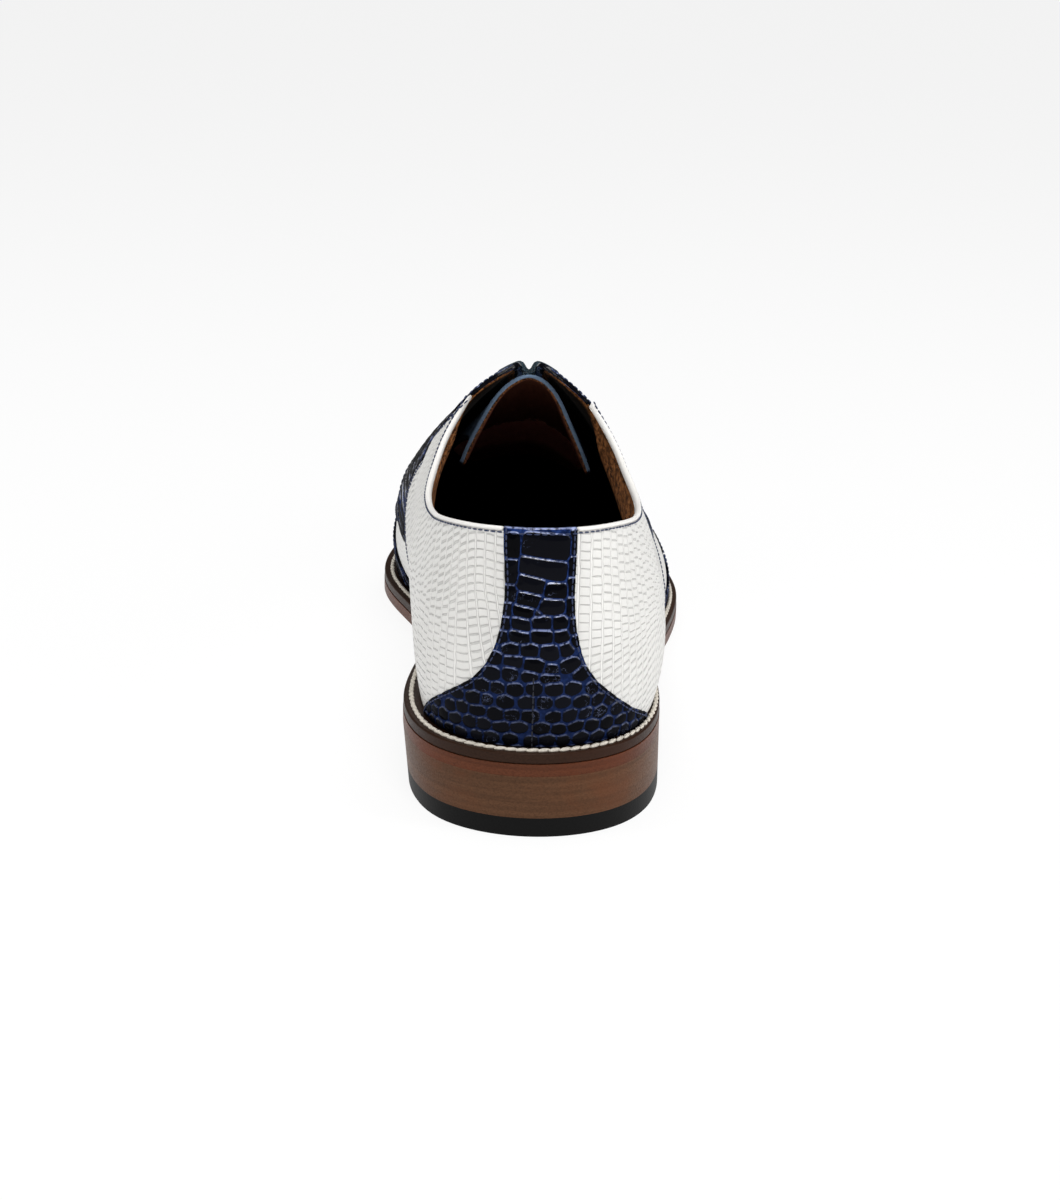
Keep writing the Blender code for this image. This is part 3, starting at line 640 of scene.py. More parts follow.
class Graph:
    """A material's nodes, with its Principled shader ready to be fed."""

    def __init__(self, name):
        self.material = bpy.data.materials.new(name)
        self.material.use_nodes = True
        self.tree = self.material.node_tree
        self.shader = self.tree.nodes["Principled BSDF"]

    def feed(self, socket, value):
        if isinstance(value, Wire):
            self.tree.links.new(value.socket, socket)
        elif isinstance(value, tuple) and len(value) == 3 and len(socket.default_value) == 4:
            socket.default_value = (*value, 1.0)
        else:
            socket.default_value = value

    def node(self, kind, settings=None, inputs=None, output=0):
        """Any node: its type, its settings, the values or links of its sockets, and one output."""
        made = self.tree.nodes.new(kind)
        for key, value in (settings or {}).items():
            setattr(made, key, value)
        for key, value in (inputs or {}).items():
            self.feed(made.inputs[key], value)
        return Wire(self, made.outputs[output])

    def place(self, *scale):
        """Object coordinates in metres, stretched along each axis."""
        place = self.node("ShaderNodeTexCoord", output="Object")
        return self.node("ShaderNodeMapping", None, {"Vector": place, "Scale": tuple(scale)})

    def noise(self, vector, scale, detail=3.0, rough=0.5):
        return self.node("ShaderNodeTexNoise", None, {
            "Vector": vector, "Scale": scale, "Detail": detail, "Roughness": rough})

    def grain(self, scale, detail=3.0, rough=0.5):
        """Even noise over the piece."""
        return self.noise(self.place(1, 1, 1), scale, detail, rough)

    def axis(self, vector, index):
        return self.node("ShaderNodeSeparateXYZ", None, {0: vector}, index)

    def attribute(self, name, output="Fac"):
        return self.node("ShaderNodeAttribute", {"attribute_name": name}, output=output)

    def step(self, value, low, high, start=0.0, end=1.0):
        """A smooth change from one value to another as the input goes from low to high."""
        return self.node("ShaderNodeMapRange", {"interpolation_type": "SMOOTHSTEP"}, {
            "Value": value, "From Min": low, "From Max": high, "To Min": start, "To Max": end})

    def blend(self, share, first, second):
        """A colour between two colours."""
        return self.node("ShaderNodeMix", {"data_type": "RGBA"}, {0: share, 6: first, 7: second}, 2)

    def bump(self, height, millimetres):
        return self.node("ShaderNodeBump", None, {
            "Height": height, "Distance": millimetres * MM, "Strength": 1.0})

    def finish(self, **inputs):
        """Feed the shader's sockets, named with underscores, and hand back the material."""
        sockets = {socket.name.lower().replace(" ", "_"): socket for socket in self.shader.inputs}
        for key, value in inputs.items():
            self.feed(sockets[key], value)
        return self.material


def shade(values, factor):
    return tuple(min(1.0, value * factor) for value in values)


def scale_leather():
    """Glossy embossed scales with blue rubbed into the grooves."""
    graph = Graph("navy_scale_leather")
    edge = graph.attribute("scale_edge")
    rim = graph.attribute("rim")
    tone = graph.attribute("scale_tone")
    spots = graph.grain(900.0)
    face = graph.step(edge + (spots - 0.5) * 0.16, -0.05, 0.18)
    rise = graph.axis(graph.place(1, 1, 1), 2)
    # The groove blue varies in random spots, and is darker low on the shoe as painted shade.
    groove_spots_and_painted_shade = graph.step(spots, 0.35, 0.7) * graph.step(rise, 0.036, 0.072, 0.25, 1.0)
    groove = graph.blend(groove_spots_and_painted_shade, shade(paint("groove"), 0.3), shade(paint("groove"), 1.15))
    crease = graph.grain(420.0, 4.0, 0.6)
    # Painted glints: thin lighter dashes on the scale faces, in a darkened lip colour, where creases
    # would catch the light.
    painted_glint = graph.step((crease - 0.5).math("ABSOLUTE"), 0.003, 0.010, 1.0, 0.0)
    painted_glint = painted_glint * graph.step(graph.grain(170.0), 0.55, 0.65)
    skin = graph.blend(tone, shade(paint("scale"), 0.6), shade(paint("scale"), 1.9))
    skin = graph.blend(painted_glint * 0.6, skin, shade(paint("lip"), 0.5))
    leather = graph.blend(face, groove, skin)
    band = graph.step(edge, -0.16, 0.02) * graph.step(edge, 0.16, 0.34, 1.0, 0.0)
    # Painted highlight in the lip colour along each scale's upper edge and over plain rims, fading
    # low on the shoe as painted shade.
    lip = graph.attribute("scale_lip") * graph.step(rise, 0.034, 0.06, 0.25, 1.0)
    painted_highlight = lip * band * graph.step(spots, 0.3, 0.6)
    leather = graph.blend(painted_highlight, leather, paint("lip"))
    trimmed = graph.blend(graph.step(rim, 0.25, 0.55), shade(paint("scale"), 1.3), leather)
    grain = graph.grain(2600.0, 2.0)
    relief = face * 0.75 + grain * 0.05 + crease * 0.28
    gloss = lip * graph.step(edge, -0.2, 0.0) * graph.step(edge, 0.3, 0.6, 1.0, 0.0)
    return graph.finish(base_color=trimmed, roughness=graph.step(face, 0.0, 1.0, 0.4, 0.17),
                        specular_ior_level=0.0, coat_weight=gloss.math("MAXIMUM", 0.08),
                        coat_roughness=0.06, normal=graph.bump(relief, 0.22))


def tile_lines(graph, place):
    """Masks of the lines between the columns of tiles, the bars across and the lines' shadows."""
    column, bar, slant = (graph.axis(place, index) for index in range(3))
    number = column.math("FLOOR")
    across = column - number - 0.5
    shifted = bar + slant * across + (number * 2.4).math("SINE") * 0.2
    ends = (shifted.math("FRACT") - 0.5).math("ABSOLUTE") * 2
    sides = across.math("ABSOLUTE") * 2
    broad = slant.math("ABSOLUTE").math("MINIMUM", 1.0) * 0.26
    bars = graph.step(ends + broad, 0.74, 1.08) * graph.step(sides, 0.66, 0.82, 1.0, 0.0)
    shadow = graph.step(across * 2, 0.70, 0.84) * graph.step(across * 2, 0.88, 0.98, 1.0, 0.0)
    return graph.step(sides, 0.74, 0.92), bars, shadow


def tile_relief(tiles):
    """The same lines and bars as numbers, for the mesh."""
    column, bar, slant = tiles.T
    number = np.floor(column)
    across = column - number - 0.5
    shifted = bar + slant * across + 0.2 * np.sin(2.4 * number)
    ends = np.abs(shifted - np.floor(shifted) - 0.5) * 2
    broad = 0.26 * np.minimum(np.abs(slant), 1.0)
    lines = smooth_step(np.abs(across) * 2, 0.66, 1.0)
    return np.maximum(lines, smooth_step(ends + broad, 0.7, 1.1))


def tile_leather():
    """White leather embossed with columns of small tiles."""
    graph = Graph("white_tile_leather")
    wander = graph.grain(260.0, 2.0)
    place = graph.attribute("tile", "Vector")
    push = graph.node("ShaderNodeVectorMath", {"operation": "MULTIPLY_ADD"}, {
        0: graph.node("ShaderNodeCombineXYZ", None, {0: wander, 1: wander, 2: 0.0}),
        1: (0.2, 0.2, 0.0), 2: place})
    lines, bars, shadow = tile_lines(graph, push)
    patchy = graph.grain(45.0, 3.0)
    shade_and_wear_mottle = graph.grain(120.0, 2.0)
    white = paint("white")
    face = graph.blend(graph.step(patchy, 0.3, 0.7), shade(white, 0.925), shade(white, 0.965))
    # Painted shade: the bars and the lines' shadows darken the white, more in some patches than in
    # others.
    shadow = shadow * graph.step(shade_and_wear_mottle, 0.3, 0.7, 0.1, 0.5)
    cut = (bars * graph.step(shade_and_wear_mottle, 0.3, 0.7, 0.4, 0.85)).math("MAXIMUM", shadow)
    painted_bar_shade = graph.blend(cut, face, shade(white, 0.64))
    # Painted highlight: the lines between the columns of tiles are lightened as ridges catching the
    # light.
    leather = graph.blend(lines * 0.8, painted_bar_shade, shade(white, 1.09))
    grain = graph.grain(3200.0, 2.0)
    soft = graph.grain(500.0, 3.0)
    relief = (1 - lines.math("MAXIMUM", bars)) * 0.9 + grain * 0.08 + soft * 0.25
    return graph.finish(base_color=leather, roughness=graph.step(bars, 0.0, 1.0, 0.42, 0.6),
                        normal=graph.bump(relief, 0.3))


def smooth_leather(name, tint, rough, grain_size, depth):
    """Leather with a fine even grain."""
    graph = Graph(name)
    grain = graph.grain(grain_size, 3.0)
    patchy = graph.grain(60.0, 2.0)
    skin = graph.blend(patchy, shade(tint, 0.93), shade(tint, 1.04))
    return graph.finish(base_color=skin, roughness=graph.step(grain, 0.3, 0.7, rough, rough + 0.1),
                        normal=graph.bump(grain, depth))


def suede(name, tint, lit=False):
    """Napped leather, dark deep inside the shoe where the piece says how light it is."""
    graph = Graph(name)
    nap = graph.grain(620.0, 5.0, 0.75)
    patchy = graph.grain(140.0, 4.0)
    fibre = graph.blend(graph.step(nap, 0.40, 0.62), shade(tint, 0.14), shade(tint, 1.7))
    skin = graph.blend(graph.step(patchy, 0.4, 0.75, 0.0, 0.8), fibre, shade(tint, 0.4))
    if lit:
        light = graph.attribute("light") + (patchy - 0.5) * 0.5
        skin = graph.blend(graph.step(light, 0.1, 0.9), shade(tint, 0.012), skin)
    return graph.finish(base_color=skin, roughness=0.95, specular_ior_level=0.03,
                        sheen_weight=0.03, sheen_roughness=0.5, normal=graph.bump(nap, 0.35))


def tongue_suede():
    """Blue-grey face and edge, brown lining under it with a reddish ragged edge further in, dark past
    it as painted shadow.
    """
    graph = Graph("tongue_suede")
    nap = graph.grain(1700.0, 4.0, 0.7)
    inside = graph.attribute("inside")
    run = graph.attribute("run")
    rag = graph.grain(150.0, 4.0, 0.7)
    blue = graph.blend(nap, shade(paint("tongue"), 0.45), shade(paint("tongue"), 1.6))
    tan = paint("lining")
    brown = graph.blend(graph.step(nap, 0.40, 0.60), shade(tan, 0.05), shade(tan, 0.7))
    dark = graph.blend(nap, (0.06, 0.020, 0.012), (0.20, 0.070, 0.042))
    # The reddish band is the lining's own ragged edge, painted brighter than that lining to stand in
    # for light reaching it through the collar.
    red = graph.blend(nap, (0.45, 0.165, 0.14), (0.75, 0.29, 0.25))
    ragged = graph.step(run + (rag - 0.5) * 0.14, 0.41, 0.43)
    # Under the tongue: dark lining, the reddish band, then the dark colour again past it as painted
    # shadow deep in the shoe.
    under = graph.blend(ragged * graph.step(run, 0.62, 0.78, 1.0, 0.0), dark, red)
    edge = graph.blend(graph.step(inside + (rag - 0.5) * 0.3, 0.55, 0.7), blue, brown)
    skin = graph.blend(graph.step(inside, 0.90, 0.99), edge, under)
    return graph.finish(base_color=skin, roughness=0.95, specular_ior_level=0.05,
                        normal=graph.bump(nap, 0.3))


def thread(name, tint):
    """Waxed thread with a fine twist."""
    graph = Graph(name)
    twist = graph.grain(1400.0, 2.0)
    strand = graph.blend(twist, shade(tint, 0.55), shade(tint, 1.2))
    return graph.finish(base_color=strand, roughness=0.6, normal=graph.bump(twist, 0.12))


def woven_lace():
    """Round lace with a diagonal weave along its length."""
    graph = Graph("lace_cord")
    place = graph.attribute("weave", "Vector")
    along, turn = (graph.axis(place, index) for index in range(2))
    left = ((along * 3.2 + turn * 6.0) * 3.14159).math("SINE").math("ABSOLUTE")
    right = ((along * 3.2 - turn * 6.0) * 3.14159).math("SINE").math("ABSOLUTE")
    weave = left * right
    strand = graph.blend(weave, shade(paint("lace"), 0.35), shade(paint("lace"), 2.2))
    return graph.finish(base_color=strand, roughness=0.55, normal=graph.bump(weave, 0.25))


def edge_leather(name, tint, layers, rough):
    """Burnished edge of sole leather: fine layers along the floor, fibres and stains."""
    graph = Graph(name)
    layered = graph.noise(graph.place(14, 14, layers), 1.0, 3.0)
    fibres = graph.noise(graph.place(1500, 1500, 2200), 1.0, 3.0, 0.6)
    stains = graph.noise(graph.place(38, 38, 70), 1.0, 4.0, 0.6)
    band = graph.blend(graph.step(layered, 0.35, 0.65), shade(tint, 0.84), shade(tint, 1.14))
    speckled = graph.blend(graph.step(fibres, 0.35, 0.75, 0.0, 0.55), band, shade(tint, 0.42))
    stained = graph.blend(graph.step(stains, 0.45, 0.75, 0.0, 0.6), speckled,
                          (tint[0] * 1.15, tint[1] * 0.8, tint[2] * 0.6))
    relief = layered * 0.4 + fibres * 0.5
    shade_and_wear_mottle = graph.step(fibres, 0.3, 0.8, rough, rough + 0.18)
    return graph.finish(base_color=stained, roughness=shade_and_wear_mottle, specular_ior_level=0.11,
                        normal=graph.bump(relief, 0.12))


def rubber():
    """Black rubber with a faint texture."""
    graph = Graph("rubber_lift")
    grit = graph.grain(1800.0, 3.0)
    skin = graph.blend(grit, shade(paint("rubber"), 0.8), shade(paint("rubber"), 1.3))
    return graph.finish(base_color=skin, roughness=0.5, specular_ior_level=0.09,
                        normal=graph.bump(grit, 0.06))


MATERIAL_MAKERS = {
    "navy_scale_leather": scale_leather,
    "white_tile_leather": tile_leather,
    "white_binding": lambda: smooth_leather("white_binding", paint("binding"), rough=0.38,
                                            grain_size=1500.0, depth=0.03),
    "lining_suede": lambda: suede("lining_suede", paint("lining"), True),
    "tongue_suede": tongue_suede,
    "navy_thread": lambda: thread("navy_thread", paint("navy_thread")),
    "dark_thread": lambda: thread("dark_thread", shade(paint("navy_thread"), 0.15)),
    "cream_thread": lambda: thread("cream_thread", paint("cream_thread")),
    "lace_cord": woven_lace,
    "insole_leather": lambda: suede("insole_leather", paint("insole")),
    "welt_leather": lambda: edge_leather("welt_leather", paint("welt"), layers=500, rough=0.34),
    "sole_leather": lambda: edge_leather("sole_leather", paint("outsole"), layers=900, rough=0.32),
    "stacked_leather": lambda: edge_leather("stacked_leather", paint("heel"), layers=620, rough=0.36),
    "rubber_lift": rubber,
}


def material(name):
    """A named material, made the first time it is asked for."""
    made = bpy.data.materials.get("shoe_" + name)
    if not made:
        made = MATERIAL_MAKERS[name]()
        made.name = "shoe_" + name
    return made


def spread(start, end, steps, crowd=0.7):
    """Places from start to end that crowd together at both ends."""
    share = np.linspace(0, 1, steps + 1)
    share = share - crowd * np.sin(2 * np.pi * share) / (2 * np.pi)
    return start + (end - start) * share


def side_grid(side, stations, low, high, levels, crowd=0.7):
    """Stations and rises of a grid between two lines on one side of the shoe."""
    share = spread(0, 1, levels, crowd)
    rises = low[:, None] + (high - low)[:, None] * share[None]
    places = np.broadcast_to(stations[:, None], rises.shape)
    return side * places[::side], rises[::side]


class Patch:
    """One or more joined grids of places on the upper, made into a closed piece of leather."""

    def __init__(self, *grids, coarse=4):
        self.coarse = coarse
        shapes = [stations.shape for stations, rises in grids]
        station = np.concatenate([stations.ravel() for stations, rises in grids])
        rise = np.concatenate([rises.ravel() for stations, rises in grids])
        place = np.abs(station)
        on_ridge = (place >= THROAT) & (rise > 1 - 1e-6)
        on_tip = place > LAST_STATION - 1e-9
        spots = skin_point(np.where(on_ridge | on_tip, place, station), rise, 0.0)
        keys = np.round(spots / 0.002).astype(np.int64)
        first, ids = np.unique(keys, axis=0, return_index=True, return_inverse=True)[1:]
        ids = ids.reshape(-1)
        self.station = station[first]
        self.rise = rise[first]
        starts = np.cumsum([0] + [rows * columns for rows, columns in shapes])
        self.grids = [ids[start:start + rows * columns].reshape(rows, columns)
                      for start, (rows, columns) in zip(starts, shapes)]
        self.faces = [face for grid in self.grids for face in grid_faces(grid)]
        self.rim = self.distance_to_edge()

    def distance_to_edge(self, samples=6):
        """How far each point is from the cut edge of the piece."""
        points = skin_point(self.station, self.rise, 0.0)
        ends = np.array(sorted(open_edges(self.faces)))
        share = np.linspace(0, 1, samples, endpoint=False)[:, None, None]
        marks = (points[ends[:, 0]] * (1 - share) + points[ends[:, 1]] * share).reshape(-1, 3)
        tree = KDTree(len(marks))
        for index, mark in enumerate(marks):
            tree.insert(mark, index)
        tree.balance()
        return np.array([tree.find(point)[2] for point in points])

    def flat(self):
        return FLAT.at(self.station, self.rise)

    def backing(self, first_new):
        """Faces of the underside, on every few points, and the points that it adds."""
        small = [grid[::self.coarse, ::self.coarse] for grid in self.grids]
        border = open_edges([face for grid in small for face in grid_faces(grid)])
        on_border = {place for edge in border for place in edge}
        added = {}
        faces = []
        for grid, fine in zip(small, self.grids):
            for row, step in np.ndindex(grid.shape[0] - 1, grid.shape[1] - 1):
                corners = ((row, step), (row, step + 1), (row + 1, step + 1), (row + 1, step))
                face = []
                for here, after in zip(corners, corners[1:] + corners[:1]):
                    start = grid[here]
                    if start in on_border:
                        face.append(start)
                    else:
                        face.append(added.setdefault(start, first_new + len(added)))
                    if edge_key(start, grid[after]) in border:
                        face.extend(between(fine, here, after, self.coarse))
                faces.append(unrepeated(face))
        return [face for face in faces if len(face) > 2], list(added)

    def solid(self, name, top, floor, materials, bevel=0.6, relief=0.0, lined=0.0, attributes=None):
        """The closed piece: a face at a height that rounds down to its floor at the cut edge."""
        floor = np.broadcast_to(floor, self.station.shape)
        share = np.clip(self.rim / bevel, 0, 1)
        rounding = np.sqrt(np.clip(1 - (1 - share) ** 2, 0, 1))
        height = floor + (top - floor) * rounding + relief * rounding
        under, added = self.backing(len(self.station))
        points = np.concatenate([skin_point(self.station, self.rise, height),
                                 skin_point(self.station[added], self.rise[added], floor[added])])
        obj = new_piece(name, points, self.faces + under, materials)
        if len(materials) > 1:
            inner = [np.mean(self.rim[face]) < lined for face in self.faces] + [True] * len(under)
            obj.data.polygons.foreach_set("material_index", np.array(inner, np.int32))
        values = {"rim": self.rim, **(attributes or {})}
        for key, value in values.items():
            value = np.asarray(value, float)
            set_attribute(obj.data, key, np.concatenate([value, value[added]]))
        return obj


def grid_faces(grid):
    """Faces of a grid of point numbers, facing out where rows run round the shoe and columns up."""
    corners = np.stack([grid[:-1, :-1], grid[1:, :-1], grid[1:, 1:], grid[:-1, 1:]], -1)
    return [face for face in map(unrepeated, corners.reshape(-1, 4).tolist()) if len(face) > 2]


def unrepeated(face):
    """A face's points without those that fall together."""
    return [place for index, place in enumerate(face) if place != face[index - 1]]


def edge_key(first, second):
    return (min(first, second), max(first, second))


def open_edges(faces):
    """Edges that only one face uses."""
    seen = {}
    for face in faces:
        for first, second in zip(face, face[1:] + face[:1]):
            key = edge_key(first, second)
            seen[key] = seen.get(key, 0) + 1
    return {key for key, uses in seen.items() if uses == 1}


def between(fine, here, after, coarse):
    """Points of the fine grid that lie between two neighbouring points of the coarse one."""
    step = np.subtract(after, here)
    return [fine[tuple(np.multiply(here, coarse) + step * index)] for index in range(1, coarse)]


def plate_faces(rows, columns):
    """Faces of a closed plate whose two matching grids of points follow each other."""
    first = np.arange(rows * columns).reshape(rows, columns)
    second = first + rows * columns
    ring = np.concatenate([first[:, -1], first[-1, -2::-1], first[-2::-1, 0], first[0, 1:-1]])
    wall = np.stack([ring, ring + rows * columns], 1)
    rim = grid_faces(np.concatenate([wall, wall[:1]]))
    return grid_faces(first) + grid_faces(second[::-1]) + rim


def welded(points, faces, reach=0.01):
    """Points with those that fall together made one, and the faces that are left."""
    keys = np.round(points / reach).astype(np.int64)
    first, ids = np.unique(keys, axis=0, return_index=True, return_inverse=True)[1:]
    ids = ids.reshape(-1)
    faces = [unrepeated(ids[face].tolist()) for face in faces]
    return points[first], [face for face in faces if len(face) > 2]


def set_attribute(mesh, name, values):
    """A number or a vector at each point, for the material to read."""
    if values.ndim == 1:
        mesh.attributes.new(name, "FLOAT", "POINT").data.foreach_set("value", values)
    else:
        filled = np.zeros((len(values), 3))
        filled[:, :values.shape[1]] = values
        made = mesh.attributes.new(name, "FLOAT_VECTOR", "POINT")
        made.data.foreach_set("vector", filled.ravel())


def add_object(name, data):
    """A new object in the scene."""
    obj = bpy.data.objects.new(name, data)
    bpy.context.scene.collection.objects.link(obj)
    return obj


def new_piece(name, points, faces, materials):
    """A smooth mesh object at the origin, from points in millimetres."""
    mesh = bpy.data.meshes.new(name)
    mesh.from_pydata(in_metres(points).tolist(), [], faces)
    mesh.shade_smooth()
    for made in materials:
        mesh.materials.append(material(made))
    return add_object(name, mesh)


def plain_mesh(obj):
    """A piece's mesh with its modifiers applied."""
    bpy.context.view_layer.update()
    graph = bpy.context.evaluated_depsgraph_get()
    return bpy.data.meshes.new_from_object(obj.evaluated_get(graph), depsgraph=graph)


def bake(obj):
    """Turn a piece's modifiers into a plain mesh."""
    mesh = plain_mesh(obj)
    obj.modifiers.clear()
    obj.data = mesh
    return obj


def deliver(obj, slot, *nodes):
    """Hang a finished piece on the shoe, in place of the solids that it stands for."""
    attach(obj, BODY)
    if nodes:
        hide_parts(*nodes)
    return obj


def scale_field(across, along, chart, groove):
    """Distance inside the nearest scale's edge, in millimetres, and that scale's own tone."""
    best = np.full(across.shape, -3.0)
    second = np.full(across.shape, -3.0)
    tone = np.zeros(across.shape)
    tones = np.random.default_rng(7).random(len(chart))
    for (x, y, half_x, half_y, tilt, square), value in zip(chart, tones):
        near = (np.abs(across - x) < 2 * half_x + 2) & (np.abs(along - y) < 2 * half_y + 3)
        turn = np.radians(tilt)
        dx = across[near] - x
        dy = along[near] - y
        u = np.abs(dx * np.cos(turn) - dy * np.sin(turn)) / half_x
        v = np.abs(dx * np.sin(turn) + dy * np.cos(turn)) / half_y
        size = np.maximum((u**square + v**square) ** (1 / square), 0.05)
        grade = np.hypot((u / size) ** (square - 1) / half_x, (v / size) ** (square - 1) / half_y)
        inside = np.minimum((1 - size) / grade, min(half_x, half_y))
        closer = inside > best[near]
        places = np.flatnonzero(near)
        second[places] = np.maximum(second[places], np.minimum(best[places], inside))
        best[places[closer]] = inside[closer]
        tone[places[closer]] = value
    return np.minimum((best - second) / 2 - groove, best + SCALE_REACH), tone


def scale_rows(across_range, rows, taken, seed, lean=lambda x: 0.0):
    """A chart of scales with staggered rows added round it."""
    random = np.random.default_rng(seed)
    chart = list(taken)
    for index, (y, half_x, half_y) in enumerate(rows):
        pitch = 2 * half_x + 0.55
        for x in np.arange(across_range[0] + pitch / 2 * (index % 2), across_range[1], pitch):
            shift_x, shift_y, wide, high, tilt = random.uniform(-1, 1, 5)
            scale = (x + 0.16 * pitch * shift_x, y + 0.22 * half_y * shift_y,
                     half_x * (0.95 + 0.14 * wide), half_y * (0.95 + 0.14 * high),
                     lean(x) + 10 * tilt, 2.0 + half_x / 6)
            apart = (((scale[0] - x0) / (a + half_x)) ** 2 + ((scale[1] - y0) / (b + half_y)) ** 2
                     for x0, y0, a, b, *_ in taken)
            if all(gap > 0.9 for gap in apart):
                chart.append(scale)
    return chart


def row_sizes(start, end, first, last, wide):
    """Rows from start to end whose half height goes from first to last, with a width to match."""
    rows = []
    place = start
    while place < end:
        half = first + (last - first) * (place - start) / (end - start)
        rows.append((place + half, half * wide, half))
        place += 2 * half + 0.45
    return rows


def scale_relief(edge):
    """Height of an embossed scale over the groove round it."""
    groove = millimetres("groove")
    dome = millimetres("dome")
    return groove * (smooth_step(edge, -0.25, 0.4) - 1) + dome * smooth_step(edge, 0.0, 2.2)


def front_places(patch):
    """Places of a piece unrolled from the ridge: millimetres across and along the shoe."""
    down = patch.flat()[2]
    top = last_point(patch.station, np.ones(down.shape))[:, :2]
    low = last_point(patch.station, np.zeros(down.shape))[:, :2]
    return (top + unit(low - top) * down[:, None]).T


def scaled_piece(patch, name, face, chart, across, along, groove=0.2, painted_highlight=0.0):
    """A piece of scale leather from its patch and its chart of scales, made plain and given a painted
    highlight where asked.
    """
    edge, tone = scale_field(across, along, chart, groove)
    step = 0.12
    above, below = (scale_field(across, along + way, chart, groove)[0] for way in (-step, step))
    # The lip mask carries the painted highlight and gloss: each scale's upper edge, and the parts
    # made plain.
    lip = np.maximum(smooth_step((below - above) / (2 * step), 0.35, 0.9), 0.7 * painted_highlight)
    edge = edge + (0.05 - edge) * painted_highlight
    return patch.solid(name, face, TUCK, ["navy_scale_leather"], relief=scale_relief(edge),
                       attributes={"scale_edge": edge, "scale_tone": tone, "scale_lip": lip})


def tile_places(station, rise):
    """Column of tiles, bar across it and slant of the bars at each place on the quarters."""
    across, up = FLAT.at(station, rise)[:2]
    reach = np.abs(across)
    low = 1 - smooth_step(up, 27, 43)
    close = 1 - smooth_step(reach, 11, 25)
    columns = (reach + 0.17 * close * np.maximum(46 - up, 0)) / 2.9
    columns -= np.maximum(reach - 20, 0) * 0.062 + np.maximum(reach - 31, 0) * 0.055
    slant = (0.68 - 0.80 * close) * (1 - low) + (0.55 * close + 0.05) * low
    medial = np.stack([columns, up / 2.3, slant * 1.5], -1)
    columns = reach / 3.9 + np.maximum(reach - 24, 0) * 0.03
    high = smooth_step(up, 20, 37)
    bars = (up + 0.12 * high * (reach - 11)) / 2.45
    lateral = np.stack([columns, bars, (0.7 - 0.2 * close) * high - 0.5], -1)
    return np.where((np.asarray(station) < 0)[..., None], medial, lateral)


def eyelet_places():
    """Signed station and rise of each eyelet, in pairs from the top of the facing down."""

    def eyelet(station):
        return station, float(rise_below_rim(station, EYELET_INSET))

    return [(eyelet(station), eyelet(-station)) for station in EYELET_STATIONS]


def punch_eyelets(obj, radius=EYELET / 2, sides=20, reach=4.0):
    """Cut the eyelet holes right through a piece."""
    points = []
    faces = []
    turn = np.linspace(0, 2 * np.pi, sides, endpoint=False)
    for station, rise in (place for pair in eyelet_places() for place in pair):
        out = last_normal(station, rise)
        side = unit(np.cross(out, [0.0, 1.0, 0.0]))
        ring = radius * (np.cos(turn)[:, None] * side + np.sin(turn)[:, None] * np.cross(out, side))
        start = len(points)
        for height in (-reach, reach):
            points.extend(last_point(station, rise) + ring + out * height)
        low = np.arange(start, start + sides)
        after = np.roll(low, -1)
        faces.extend(np.stack([low, after, after + sides, low + sides], -1).tolist())
        faces.extend([low[::-1].tolist(), (low + sides).tolist()])
    cutter = new_piece("eyelet_cutter", points, faces, [])
    cutter.data.flip_normals()
    cut = obj.modifiers.new("eyelets", "BOOLEAN")
    cut.operation = "DIFFERENCE"
    cut.solver = "EXACT"
    cut.object = cutter
    bake(obj)
    bpy.data.objects.remove(cutter)
    return obj


class SHOE_OT_shell(bpy.types.Operator):
    """Make the lasted shell: white leather outside, napped lining inside"""

    bl_idname = "shoe.shell"
    bl_label = "Shell and lining"

    def execute(self, context):
        half = spread(0, LAST_STATION, 128, crowd=0.0)
        stations = np.concatenate([-half[:0:-1], half])
        rises = FLAT.top(stations)[:, None] * spread(0, 1, 48, crowd=0.85)[None]
        patch = Patch((np.broadcast_to(stations[:, None], rises.shape), rises), coarse=1)
        tiles = tile_places(patch.station, patch.rise)
        down = patch.flat()[2]
        lining = RIM_LINING + (LINING_FACE - RIM_LINING) * smooth_step(down, 0.0, 12.0)
        wall = 1 - smooth_step(np.abs(patch.station), *PADDED_END)
        padded = wall * smooth_step(np.abs(patch.station), 0.8, 1.8)
        lining -= PADDING * padded * smooth_step(down, 2, 16) * (1 - smooth_step(down, 26, 46))
        light = np.maximum(wall * (1 - smooth_step(down, 5, 26)), 1 - smooth_step(down, 3, 7))
        leathers = ["white_tile_leather", "lining_suede"]
        shell = patch.solid("upper_shell", SHELL_FACE, lining, leathers, bevel=0.5, lined=0.9,
                            attributes={"tile": tiles, "light": light})
        punch_eyelets(shell)
        deliver(shell, "white_leather", "upper")
        return {"FINISHED"}


class SHOE_OT_quarters(bpy.types.Operator):
    """Make the two white quarters with their tile emboss"""

    bl_idname = "shoe.quarters"
    bl_label = "Quarters"

    def execute(self, context):
        rises = spread(0, 1, 140, crowd=0.5)
        share = spread(0, 1, 260, crowd=0.5)
        for side, name in SIDES:
            front = QUARTER_EDGE[name](rises)
            stations = side * share[:, None] * front[None]
            patch = Patch((stations[::side], (rises * FLAT.top(stations))[::side]))
            tiles = tile_places(side * np.maximum(side * patch.station, 1e-6), patch.rise)
            relief = -millimetres("tile") * tile_relief(tiles)
            quarter = patch.solid("quarter_" + name, QUARTER_FACE, TUCK, ["white_tile_leather"],
                                  relief=relief, attributes={"tile": tiles})
            deliver(quarter, "white_leather")
        return {"FINISHED"}


